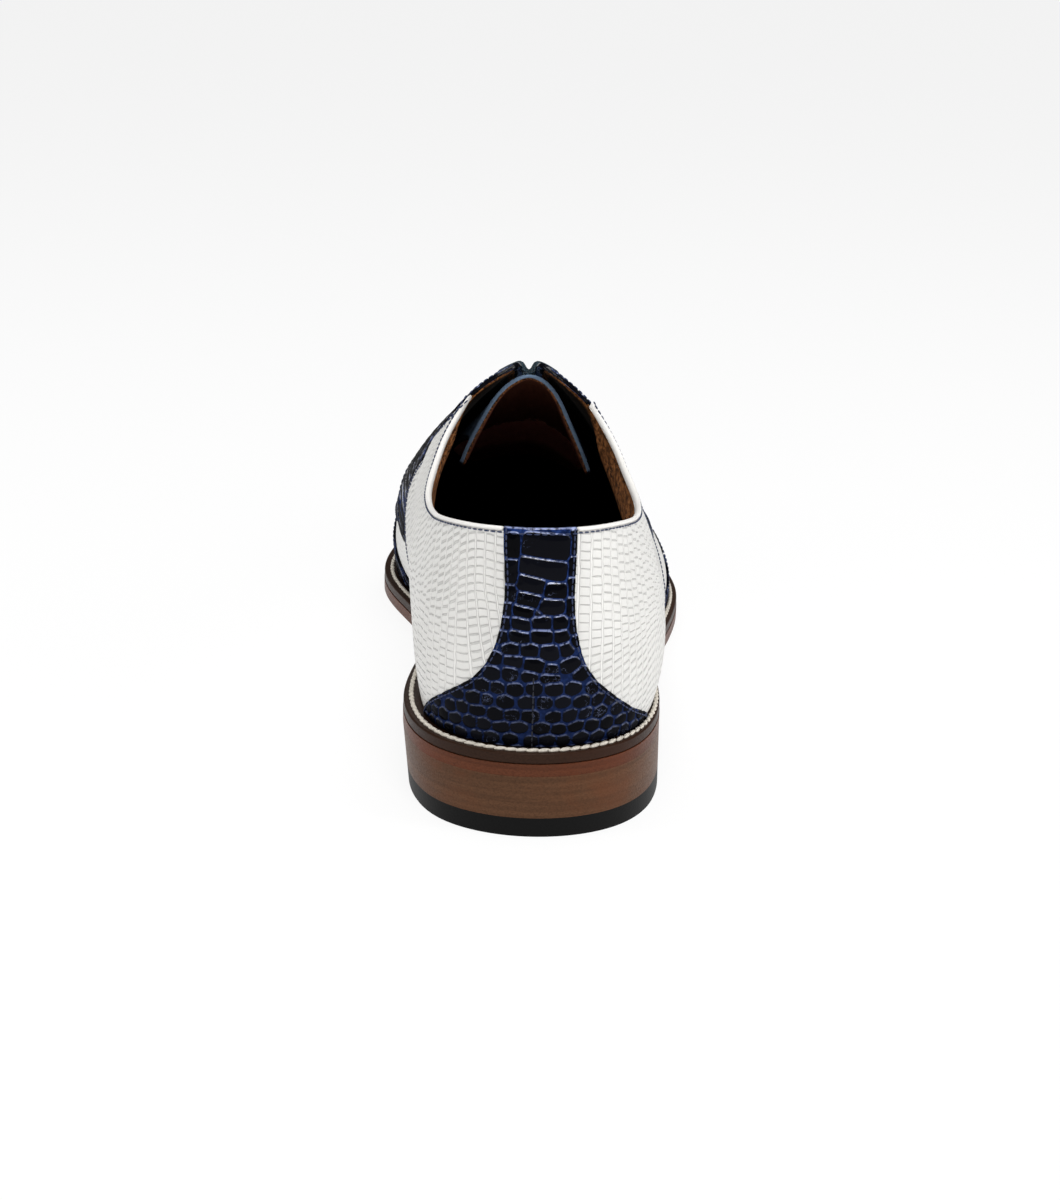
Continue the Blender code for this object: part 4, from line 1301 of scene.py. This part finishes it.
class SHOE_OT_counter(bpy.types.Operator):
    """Make the heel counter: the scaled strap up the back"""

    bl_idname = "shoe.counter"
    bl_label = "Heel counter"

    def execute(self, context):
        flat_rises = spread(0, FLAT.roll_start(0.0), 228, crowd=0.4)
        rises = np.concatenate([flat_rises, np.linspace(1, 1.85, 13)[1:]])
        share = spread(-1, 1, 176, crowd=0.55)[:, None]
        stations = share * np.where(share < 0, COUNTER_EDGE["medial"](rises),
                                    COUNTER_EDGE["lateral"](rises))
        patch = Patch((stations, np.broadcast_to(rises, stations.shape)))
        across, _, down = patch.flat()
        rows = row_sizes(31.0, 76.0, first=1.75, last=1.6, wide=1.3)
        chart = scale_rows((-62, 62), rows, STRAP_SCALES + STRAP_MARGINS, seed=3,
                           lean=lambda x: 26 * smooth_step(x, 3, 16) - 8 * smooth_step(-x, 6, 20))
        groove = 0.14 + 0.05 * smooth_step(down, 12, 34)
        # The rolled top of the strap is made plain and given a painted highlight.
        rolled = 1 - smooth_step(down, 0.2, 0.9)
        strap = scaled_piece(patch, "heel_counter_strap", COUNTER_FACE, chart, across, down,
                             groove=groove, painted_highlight=rolled)
        deliver(strap, "navy_leather", "heel_counter")
        return {"FINISHED"}


class SHOE_OT_eyestays(bpy.types.Operator):
    """Make the two scaled eyestays with their punched eyelets"""

    bl_idname = "shoe.eyestays"
    bl_label = "Eyestays"

    def execute(self, context):
        for side, name in SIDES:
            stations = spread(EYESTAY[0][0], EYESTAY[-1][0], 120, crowd=0.5)
            upper = 1 - 0.055 * (1 - smooth_step(stations, COLLAR_END - 0.02, COLLAR_END + 0.06))
            patch = Patch(side_grid(side, stations, EYESTAY_EDGE(stations), upper, 96))
            down = patch.flat()[2]
            rows = row_sizes(80.0, 220.0, first=2.0, last=2.2, wide=1.4)
            chart = scale_rows((-110, 110), rows, [], seed=11 + side)
            # A painted highlight along the top of each facing, fading out by three millimetres below
            # the rim.
            painted_highlight = 0.6 * (1 - smooth_step(down, 1.0, 3.0))
            eyestay = scaled_piece(patch, "eyestay_panel_" + name, EYESTAY_FACE, chart,
                                   *front_places(patch), painted_highlight=painted_highlight)
            deliver(punch_eyelets(eyestay), "navy_leather", "eyestay_" + name)
        return {"FINISHED"}


class SHOE_OT_toe(bpy.types.Operator):
    """Make the scaled toe panel round its white windows, and the strip between the toe seams"""

    bl_idname = "shoe.toe"
    bl_label = "Toe panel and strip"

    def execute(self, context):
        self.make_panel()
        self.make_strip()
        return {"FINISHED"}

    def make_panel(self):
        behind = spread(TOE[0][0], THROAT, 36, crowd=0.3)
        beside = spread(THROAT, WINDOW_END, 52, crowd=0.3)[1:]
        ahead = np.linspace(WINDOW_END, LAST_STATION, 85)[1:]
        stations = np.concatenate([behind, beside, ahead])
        low, high, back = (TOE_EDGE[name](stations) for name in TOE_COLUMNS[1:])
        grids = []
        for side in (1, -1):
            grids.append(side_grid(side, stations, np.zeros(stations.shape), low, 32, crowd=0.5))
            grids.append(side_grid(side, stations, high, back, 72, crowd=0.5))
        patch = Patch(*grids)
        rows = row_sizes(120.0, 330.0, first=2.1, last=2.7, wide=1.45)
        chart = scale_rows((-110, 110), rows, [], seed=21)
        panel = scaled_piece(patch, "toe_panel_vamp", PANEL_FACE, chart, *front_places(patch))
        deliver(panel, "navy_leather", "toe_panel")

    def make_strip(self):
        first, corner = STRIP_ROWS[0][0], STRIP_ROWS[-1][0]
        corner_half = STRIP_HALF(corner)
        along = np.linspace(first, corner, 121)
        turn = np.linspace(corner, LAST_STATION, 25)
        corner_low = np.mean([rise_at_width(side * corner, corner_half) for side in (1, -1)])
        rises = np.linspace(0.0, corner_low, 33)
        grids = []
        for side in (1, -1):
            low = np.array([rise_at_width(side * place, STRIP_HALF(place)) for place in along])
            low[-1] = corner_low
            grids.append(side_grid(side, along, low, np.ones(along.shape), 24, crowd=0.0))
            level = np.full(turn.shape, corner_low)
            grids.append(side_grid(side, turn, level, np.ones(turn.shape), 24, crowd=0.0))
            reach = np.array([station_at_width(side, rise, corner_half, corner) for rise in rises])
            reach[-1] = corner
            drop = reach[None] + (LAST_STATION - reach)[None] * np.linspace(0, 1, 25)[:, None]
            grids.append((side * drop[::side], np.broadcast_to(rises, drop.shape)))
        patch = Patch(*grids)
        rows = row_sizes(170.0, 330.0, first=2.4, last=2.8, wide=1.4)
        chart = scale_rows((-60, 60), rows, [], seed=31)
        strip = scaled_piece(patch, "toe_strip_ridge", STRIP_FACE, chart, *front_places(patch))
        deliver(strip, "navy_leather", "toe_strip")


def rise_at_width(station, half):
    """The rise where a rib has come out from the ridge by a half width, seen from above."""
    rises = np.linspace(1, 0, 201)
    out = np.abs(last_point(np.full(rises.shape, float(station)), rises)[:, 0] - RIM_MID(station))
    return float(np.interp(half, np.maximum.accumulate(out), rises))


def station_at_width(side, rise, half, first):
    """The station past the toe corner where the toe is a half width from its middle."""
    stations = np.linspace(LAST_STATION, first, 201)
    middle = RIM_MID(LAST_STATION)
    out = np.abs(last_point(side * stations, np.full(stations.shape, rise))[:, 0] - middle)
    return float(np.interp(half, np.maximum.accumulate(out), stations))


class SHOE_OT_binding(bpy.types.Operator):
    """Make the smooth white binding that rolls over the collar"""

    bl_idname = "shoe.binding"
    bl_label = "Collar binding"

    def execute(self, context):
        roll = np.linspace(1, 1.9, 13)[1:]
        for side, name in SIDES:
            stations = np.linspace(COUNTER_EDGE[name](1.0) - 0.02, COLLAR_END, 193)
            low = rim_offsets(side * stations, ROLL + millimetres("binding"))
            top = FLAT.roll_start(side * stations)
            rises = low[:, None] + (top - low)[:, None] * spread(0, 1, 12, crowd=0.4)[None]
            rises = np.concatenate([rises, np.broadcast_to(roll, (len(stations), len(roll)))], 1)
            places = np.broadcast_to(side * stations[:, None], rises.shape)
            patch = Patch((places[::side], rises[::side]))
            band = patch.solid("binding_" + name, BINDING_FACE, TUCK, ["white_binding"], bevel=0.9)
            deliver(band, "white_binding", "collar_binding_" + name)
        return {"FINISHED"}


def rim_offsets(stations, distance):
    return np.array([rise_below_rim(station, distance) for station in stations])


class SHOE_OT_tongue(bpy.types.Operator):
    """Make the napped tongue under the facings"""

    bl_idname = "shoe.tongue"
    bl_label = "Tongue"

    def execute(self, context):
        first = TONGUE_ROWS[0][0]
        stations = np.linspace(first, TONGUE_ROWS[-1][0], 61)
        layers = []
        for under in (0.0, TONGUE):
            rows = []
            for place in stations:
                distances = np.linspace(TONGUE_HALF(place), 0, 31)
                loose = 1 - smooth_step(place, 6.0, 7.4)
                shoulder = smooth_step(distances, 0.0, 7.0)
                shoulder = shoulder * (1 - smooth_step(distances, 9.0, 24.0))
                depth = TONGUE_DEPTH + (TONGUE_FALL + TONGUE_CLEAR * loose) * distances + under
                depth -= TONGUE_SHOULDER * loose * shoulder
                swept = place - TONGUE_SWEEP * loose * distances / TONGUE_HALF(first)
                sides = []
                for side in (1, -1):
                    rises = np.array([rise_below_rim(side * station, distance)
                                      for station, distance in zip(swept, distances)])
                    sides.append(skin_point(side * swept, rises, -depth))
                rows.append(softened(np.concatenate([sides[0], sides[1][::-1]]), passes=6))
            layers.append(np.array(rows))
        rows, columns = layers[0].shape[:2]
        points = np.concatenate([layer.reshape(-1, 3) for layer in layers])
        tongue = new_piece("tongue_flap", points, plate_faces(rows, columns), ["tongue_suede"])
        run = np.tile(np.repeat(np.linspace(0, 1, rows), columns), 2)
        inside = np.repeat([0.0, 1.0], rows * columns)
        set_attribute(tongue.data, "run", run)
        set_attribute(tongue.data, "inside", inside)
        deliver(tongue, "tongue_suede", "tongue")
        return {"FINISHED"}


class SHOE_OT_laces(bpy.types.Operator):
    """Make the lace bars that cross the facing and go down through the eyelets"""

    bl_idname = "shoe.laces"
    bl_label = "Laces"

    def execute(self, context):
        over = EYESTAY_FACE + 0.7 * LACE_THICK
        # Share of the way from the eyelet to the rim, and height over the outer face.
        stops = ((0.0, -2.0), (0.0, -0.4), (0.10, over * 0.8), (0.3, over), (0.75, over),
                 (0.97, over - 0.2))
        for number, pair in enumerate(eyelet_places(), 1):
            route = []
            for station, rise in pair:
                route.append([skin_point(station, rise + share * (1 - rise), height)
                              for share, height in stops])
            edges = np.array([skin_point(station, 1.0, LACE_EDGE) for station, rise in pair])
            middle = edges.mean(0)
            share = min(0.7, LACE_THICK / np.linalg.norm(edges[0] - middle))
            inner = edges + share * (middle - edges)
            across = [inner[0], middle - [0.0, 0.0, LACE_DIP], inner[1]]
            path = smooth_path(np.array(route[0] + across + route[1][::-1]), count=57)
            lace = tube("lace_run_%d" % number, path, LACE_THICK, LACE_WIDE, "lace_cord")
            deliver(lace, "lace_cord", "lace_bar_%d" % number)
        return {"FINISHED"}


def softened(points, passes):
    """A line of points with its corners eased and its ends kept."""
    points = points.copy()
    for _ in range(passes):
        points[1:-1] = points[1:-1] / 2 + (points[:-2] + points[2:]) / 4
    return points


def smooth_path(points, count):
    """Even places on a smooth curve through points."""
    run = run_along(points)
    places = np.linspace(0, run[-1], count)
    return np.stack([steady_curve(run, points[:, axis])(places) for axis in range(3)], -1)


def tube(name, path, thick, wide, made, sides=16):
    """A flattened cord along a path, with rounded ends and its weave's places."""
    ahead = unit(np.gradient(path, axis=0))
    across = unit(np.cross(ahead, [0.0, 1.0, 0.3]))
    turn = np.linspace(0, 2 * np.pi, sides, endpoint=False)
    beside = np.cross(ahead, across)
    ring = thick * np.cos(turn)[None, :, None] * across[:, None]
    ring = ring + wide * np.sin(turn)[None, :, None] * beside[:, None]
    swell = np.ones(len(path))
    swell[[0, -1]] = 0.5
    points = path[:, None] + swell[:, None, None] * ring
    ids = np.arange(len(path) * sides).reshape(len(path), sides)
    faces = grid_faces(np.concatenate([ids, ids[:, :1]], 1)[::-1])
    faces.extend([ids[0].tolist(), ids[-1, ::-1].tolist()])
    obj = new_piece(name, points, faces, [made])
    along = np.repeat(run_along(path) / (2 * wide), sides)
    set_attribute(obj.data, "weave", np.stack([along, np.tile(turn / (2 * np.pi), len(path))], -1))
    return obj


def rungs(stations, inset, height, hollow=0.0, steps=24):
    """Rungs across the sole's outline, with the last ones bowed back by a hollow."""
    lateral = edge_point(stations, inset(stations))
    medial = edge_point(-stations, inset(-stations))
    across = spread(0, 1, steps, 0.6)
    plan = medial[:, None] + (lateral - medial)[:, None] * across[None, :, None]
    bow = hollow * (1 - (2 * across - 1) ** 2)
    plan[..., 1] -= bow * np.linspace(0, 1, len(stations))[:, None] ** 3
    return np.concatenate([plan, height(plan[..., 1])[..., None]], -1)


def slab(name, low, high, made, bevel):
    """A plate between two matching grids of rungs, with its edges eased."""
    points = np.concatenate([low.reshape(-1, 3), high.reshape(-1, 3)])
    faces = plate_faces(*low.shape[:2])
    return ease(new_piece(name, *welded(points, faces), [made]), bevel)


def ease(obj, width):
    """Round a piece's sharp edges and keep its faces crisp."""
    rounded = obj.modifiers.new("ease", "BEVEL")
    rounded.width = width * MM
    rounded.segments = 3
    rounded.limit_method = "ANGLE"
    rounded.angle_limit = np.radians(50)
    rounded.harden_normals = True
    return bake(obj)


class SHOE_OT_sole(bpy.types.Operator):
    """Make the insole, welt, outsole and stacked heel"""

    bl_idname = "shoe.sole"
    bl_label = "Sole and heel"

    def execute(self, context):
        whole = spread(0, LAST_STATION, 156, crowd=0.0)
        heel = spread(0, HEEL_STATIONS, 48, crowd=0.0)

        def drawn_in(amount):
            return lambda station: np.full(station.shape, amount)

        def leaning(amount):
            return lambda station: amount * (1.0 - 1.2 * np.clip(station / 1.5, -1, 1))

        def level(z):
            return lambda y: np.full(y.shape, z)

        def over_sole(z):
            return lambda y: sole_rise(y) + z

        def inside(station):
            return WELT_WIDTH(station) + UPPER_WALL + 2 * GAP

        for name, low, high, made, bevel in (
            ("heel_top_lift", 0.0, TOP_LIFT, "rubber_lift", 0.5),
            ("heel_base", TOP_LIFT, HEEL_STACK, "stacked_leather", 0.15),
        ):
            taper = [HEEL_TAPER * (1 - z / HEEL_STACK) for z in (low, high)]
            bottom = rungs(heel, leaning(taper[0]), level(low), BREAST_HOLLOW)
            top = rungs(heel, leaning(taper[1]), level(high - LAYER_GAP), BREAST_HOLLOW)
            deliver(slab(name + "_layer", bottom, top, made, bevel), made, name)
        outsole = slab("outsole_layer", rungs(whole, drawn_in(0.0), over_sole(0.0)),
                       rungs(whole, drawn_in(0.0), over_sole(OUTSOLE - LAYER_GAP)),
                       "sole_leather", 0.25)
        deliver(outsole, "sole_leather", "outsole")
        insole = slab("insole_sock", rungs(whole, inside, over_sole(OUTSOLE)),
                      rungs(whole, inside, over_sole(SOLE_EDGE + INSOLE_RISE)),
                      "insole_leather", 0.6)
        deliver(insole, "insole_leather", "insole")
        self.make_welt()
        return {"FINISHED"}

    def make_welt(self):
        stations = np.linspace(0, 2 * LAST_STATION, 320, endpoint=False)
        outer = edge_point(stations, 0.1)
        inner = edge_point(stations, WELT_WIDTH(stations) + UPPER_WALL)
        profile = ((inner, OUTSOLE), (outer, OUTSOLE), (outer, SOLE_EDGE), (inner, SOLE_EDGE))
        corners = [raised(plan, height) for plan, height in profile]
        ids = np.arange(4 * len(stations)).reshape(4, len(stations)).T
        ids = np.concatenate([ids, ids[:, :1]], 1)
        ids = np.concatenate([ids, ids[:1]])
        welt = new_piece("welt_ledge", np.concatenate(corners), grid_faces(ids), ["welt_leather"])
        deliver(ease(welt, 0.55), "welt_leather", "welt")


def seam_line(station, rise, inset, height):
    """Points along a line on the upper, set in to its left side and raised over the outer face."""
    station, rise = np.broadcast_arrays(np.asarray(station, float), np.asarray(rise, float))
    points = skin_point(station, rise, height)
    along = unit(np.gradient(points, axis=0))
    return points + inset * unit(np.cross(last_normal(station, np.minimum(rise, 1.0)), along))


def upper_seams():
    """Every line of thread on the upper."""
    counter_top = 0.985
    rises = np.linspace(0.012, counter_top, 160)
    seams = []
    for side, name in SIDES:
        span = COUNTER_EDGE[name](rises)
        seams.append(seam_line(side * span, rises, 1.25 * side, COUNTER_FACE + THREAD_LIFT))
        front = QUARTER_EDGE[name](rises)
        seams.append(seam_line(side * front, rises, 1.4 * side, QUARTER_FACE + THREAD_LIFT))
        collar = np.linspace(COUNTER_EDGE[name](1.0) + 0.03, COLLAR_END - 0.04, 200)
        low = rim_offsets(side * collar, ROLL + millimetres("binding") + 0.05)
        seams.append(seam_line(side * collar, low, 0.0, QUARTER_FACE + 0.12))
        facing = np.linspace(COLLAR_END + 0.1, EYESTAY[-1][0] - 0.1, 160)
        edge = rim_offsets(side * facing, 2.2)
        seams.append(seam_line(side * facing, edge, 0.0, EYESTAY_FACE))
        front_edge = np.linspace(7.06, EYESTAY[-1][0], 80)
        lower = EYESTAY_EDGE(front_edge)
        seams.append(seam_line(side * front_edge, lower, 1.3 * side, EYESTAY_FACE + THREAD_LIFT))
        window = np.linspace(7.35, 9.9, 120)
        for hem, inset in (("window_low", -1.2), ("window_high", 1.2)):
            line = TOE_EDGE[hem](window)
            seams.append(seam_line(side * window, line, inset * side, PANEL_FACE + THREAD_LIFT))
        ridge = np.linspace(STRIP_ROWS[0][0] + 0.05, STRIP_ROWS[-1][0], 160)
        half = STRIP_HALF(ridge)
        for inset in (1.2, 2.9):
            low = [rise_at_width(side * place, wide - inset) for place, wide in zip(ridge, half)]
            seams.append(seam_line(side * ridge, low, 0.0, STRIP_FACE + THREAD_LIFT))
    top = np.linspace(-0.42, COUNTER_EDGE["lateral"](1.0) - 0.06, 40)
    seams.append(seam_line(top, rim_offsets(top, 1.7), 0.0, COUNTER_FACE + THREAD_LIFT))
    return seams


def back_seam():
    """The line of thread up the lower back."""
    rises = np.linspace(0.02, 0.36, 60)
    return [seam_line(np.full(rises.shape, -0.01), rises, 0.0, COUNTER_FACE + 0.02)]


def welt_seam():
    """The line of thread round the top of the welt."""
    stations = np.linspace(0, 2 * LAST_STATION, 600)
    along = np.minimum(stations, 2 * LAST_STATION - stations)
    share = 0.42 + 0.2 * smooth_step(along, 4.0, 7.0)
    plan = edge_point(stations, np.maximum(share * WELT_WIDTH(stations), 1.1))
    return [raised(plan, SOLE_EDGE + 0.2)]


def stitch_tree(name):
    """Geometry nodes that lay stitches end to end along curves."""
    tree = bpy.data.node_groups.new(name, "GeometryNodeTree")
    tree.interface.new_socket("Geometry", in_out="INPUT", socket_type="NodeSocketGeometry")
    for label in ("Pitch", "Thread", "Slant", "Share"):
        tree.interface.new_socket(label, in_out="INPUT", socket_type="NodeSocketFloat")
    tree.interface.new_socket("Material", in_out="INPUT", socket_type="NodeSocketMaterial")
    tree.interface.new_socket("Geometry", in_out="OUTPUT", socket_type="NodeSocketGeometry")

    def add(kind, inputs, **settings):
        """The outputs of a new node, from its settings and the values or links of its sockets."""
        made = tree.nodes.new(kind)
        for key, value in settings.items():
            setattr(made, key, value)
        for key, value in inputs.items():
            if isinstance(value, bpy.types.NodeSocket):
                tree.links.new(value, made.inputs[key])
            else:
                made.inputs[key].default_value = value
        return made.outputs

    given = add("NodeGroupInput", {})
    spaced = add("GeometryNodeCurveToPoints", {
        "Curve": given["Geometry"], "Length": given["Pitch"]}, mode="LENGTH")
    stitch = add("GeometryNodeMeshUVSphere", {"Segments": 6, "Rings": 5, "Radius": 0.5})
    long = add("ShaderNodeMath", {0: given["Pitch"], 1: given["Share"]}, operation="MULTIPLY")
    size = add("ShaderNodeCombineXYZ", {"X": given["Thread"], "Y": given["Thread"], "Z": long[0]})
    aim = add("FunctionNodeAlignRotationToVector", {"Vector": spaced["Tangent"]}, axis="Z")
    wobble = add("FunctionNodeRandomValue", {2: 0.75, 3: 1.25, "Seed": 5}, data_type="FLOAT")
    swing = add("ShaderNodeMath", {0: given["Slant"], 1: wobble[1]}, operation="MULTIPLY")
    turn = add("FunctionNodeAxisAngleToRotation", {"Axis": (0.0, 0.0, 1.0), "Angle": swing[0]})
    lean = add("FunctionNodeRotateRotation", {
        "Rotation": aim["Rotation"], "Rotate By": turn["Rotation"]}, rotation_space="GLOBAL")
    placed = add("GeometryNodeInstanceOnPoints", {
        "Points": spaced["Points"], "Instance": stitch["Mesh"],
        "Rotation": lean["Rotation"], "Scale": size["Vector"]})
    real = add("GeometryNodeRealizeInstances", {"Geometry": placed["Instances"]})
    smooth = add("GeometryNodeSetShadeSmooth", {"Geometry": real["Geometry"]})
    dyed = add("GeometryNodeSetMaterial", {
        "Geometry": smooth["Geometry"], "Material": given["Material"]})
    add("NodeGroupOutput", {"Geometry": dyed["Geometry"]})
    return tree


def sew(name, seams, made, **sizes):
    """Stitches along seams, as one plain mesh."""
    curve = bpy.data.curves.new(name + "_path", "CURVE")
    curve.dimensions = "3D"
    for seam in seams:
        spline = curve.splines.new("POLY")
        spline.points.add(len(seam) - 1)
        for point, place in zip(spline.points, in_metres(seam)):
            point.co = (*place, 1.0)
    path = add_object(name + "_path", curve)
    tree = stitch_tree(name + "_nodes")
    maker = path.modifiers.new("stitches", "NODES")
    maker.node_group = tree
    values = {"Material": material(made), **sizes}
    for socket in tree.interface.items_tree:
        if socket.item_type == "SOCKET" and socket.name in values:
            maker[socket.identifier] = values[socket.name]
    mesh = plain_mesh(path)
    bpy.data.objects.remove(path)
    return add_object(name, mesh)


class SHOE_OT_stitching(bpy.types.Operator):
    """Sew the seams of the upper and the welt"""

    bl_idname = "shoe.stitching"
    bl_label = "Stitching"

    def execute(self, context):
        sizes = context.scene.shoe_sizes
        upper = sew("upper_stitches", upper_seams(), "navy_thread", Pitch=sizes.seam_pitch,
                    Thread=sizes.seam_thread, Slant=0.0, Share=0.86)
        deliver(upper, "navy_leather")
        back = sew("back_seam_stitches", back_seam(), "dark_thread", Pitch=sizes.seam_pitch,
                   Thread=sizes.seam_thread, Slant=0.0, Share=0.95)
        deliver(back, "navy_leather")
        welt = sew("welt_stitches", welt_seam(), "cream_thread", Pitch=sizes.welt_pitch,
                   Thread=sizes.welt_thread, Slant=0.22, Share=1.28)
        deliver(welt, "welt_leather")
        return {"FINISHED"}


def turned(*columns):
    """A matrix from the ways of its three axes and its place."""
    rows = np.eye(4)
    rows[:3] = np.stack(columns, -1)
    return Matrix(rows.tolist())


class SHOE_OT_stage(bpy.types.Operator):
    """Set the floor, the studio light and the camera"""

    bl_idname = "shoe.stage"
    bl_label = "Stage"

    def execute(self, context):
        stage = context.scene.shoe_stage
        self.make_floor(tuple(stage.floor))
        self.make_world(context.scene, stage.ambient)
        self.make_light("overhead", (0.1, -0.95, 1.15), (0.75, 0.28), stage.overhead)
        self.make_light("top", (0.0, 0.0, 1.1), (0.8, 0.5), stage.top)
        self.make_light("left", (-1.0, -0.35, 0.4), (0.3, 0.9), stage.left)
        self.make_light("right", (1.0, -0.45, 0.4), (0.3, 0.9), stage.right)
        self.make_camera(context.scene)
        context.scene.view_settings.view_transform = "Standard"
        return {"FINISHED"}

    def make_floor(self, tint):
        mesh = bpy.data.meshes.new("floor")
        reach = 20.0
        corners = [(x * reach, y * reach, 0.0) for x, y in ((-1, -1), (1, -1), (1, 1), (-1, 1))]
        mesh.from_pydata(corners, [], [(0, 1, 2, 3)])
        graph = Graph("pale_floor")
        graph.finish(base_color=shade(tint, 0.16), roughness=0.9, specular_ior_level=0.0,
                     emission_color=tint, emission_strength=0.92)
        mesh.materials.append(graph.material)
        add_object("floor", mesh)

    def make_world(self, scene, ambient):
        world = bpy.data.worlds.new("studio")
        world.use_nodes = True
        background = world.node_tree.nodes["Background"]
        background.inputs["Color"].default_value = (1.0, 1.0, 1.0, 1.0)
        background.inputs["Strength"].default_value = ambient
        scene.world = world

    def make_light(self, name, place, size, power):
        lamp = bpy.data.lights.new(name, "AREA")
        lamp.shape = "RECTANGLE"
        lamp.size, lamp.size_y = size
        lamp.energy = power
        back = -unit(np.array(LIT_SPOT) - place)
        side = unit(np.cross([0.0, 0.0, 1.0] if abs(back[2]) < 0.99 else [0.0, 1.0, 0.0], back))
        add_object(name, lamp).matrix_world = turned(side, np.cross(back, side), back, place)

    def make_camera(self, scene):
        lens = bpy.data.cameras.new("camera")
        lens.sensor_width = SENSOR
        lens.lens = CAMERA_FOCUS * SENSOR / FRAME_HEIGHT
        camera = add_object("camera", lens)
        ahead = np.array([-np.sin(CAMERA_YAW) * np.cos(CAMERA_PITCH),
                          np.cos(CAMERA_YAW) * np.cos(CAMERA_PITCH), -np.sin(CAMERA_PITCH)])
        right = np.array([np.cos(CAMERA_YAW), np.sin(CAMERA_YAW), 0.0])
        up = np.cross(right, ahead)
        cosine, sine = np.cos(CAMERA_ROLL), np.sin(CAMERA_ROLL)
        camera.matrix_world = turned(cosine * right + sine * up, cosine * up - sine * right, -ahead,
                                     in_metres(CAMERA_PLACE)[0])
        scene.camera = camera


PIECES = (SHOE_OT_shell, SHOE_OT_quarters, SHOE_OT_counter, SHOE_OT_eyestays, SHOE_OT_toe,
          SHOE_OT_binding, SHOE_OT_tongue, SHOE_OT_laces, SHOE_OT_sole, SHOE_OT_stitching,
          SHOE_OT_stage)
GROUPS = {"shoe_sizes": ShoeSizes, "shoe_colours": ShoeColours, "shoe_stage": ShoeStage}


class SHOE_PT_panel(bpy.types.Panel):
    """Sizes, colours and the steps that build the shoe"""

    bl_idname = "SHOE_PT_panel"
    bl_label = "Bicycle-toe oxford"
    bl_space_type = "VIEW_3D"
    bl_region_type = "UI"
    bl_category = "Shoe"

    def draw(self, context):
        for group, kind in GROUPS.items():
            box = self.layout.box()
            for name in kind.__annotations__:
                box.prop(getattr(context.scene, group), name)
        for piece in PIECES:
            self.layout.operator(piece.bl_idname)


CLASSES = (*GROUPS.values(), *PIECES, SHOE_PT_panel)


def register():
    for made in CLASSES:
        bpy.utils.register_class(made)
    for name, kind in GROUPS.items():
        setattr(bpy.types.Scene, name, PointerProperty(type=kind))


def unregister():
    for name in GROUPS:
        delattr(bpy.types.Scene, name)
    for made in reversed(CLASSES):
        bpy.utils.unregister_class(made)


def main():
    register()
    for piece in PIECES:
        group, name = piece.bl_idname.split(".")
        getattr(getattr(bpy.ops, group), name)()


if __name__ == "__main__":
    main()
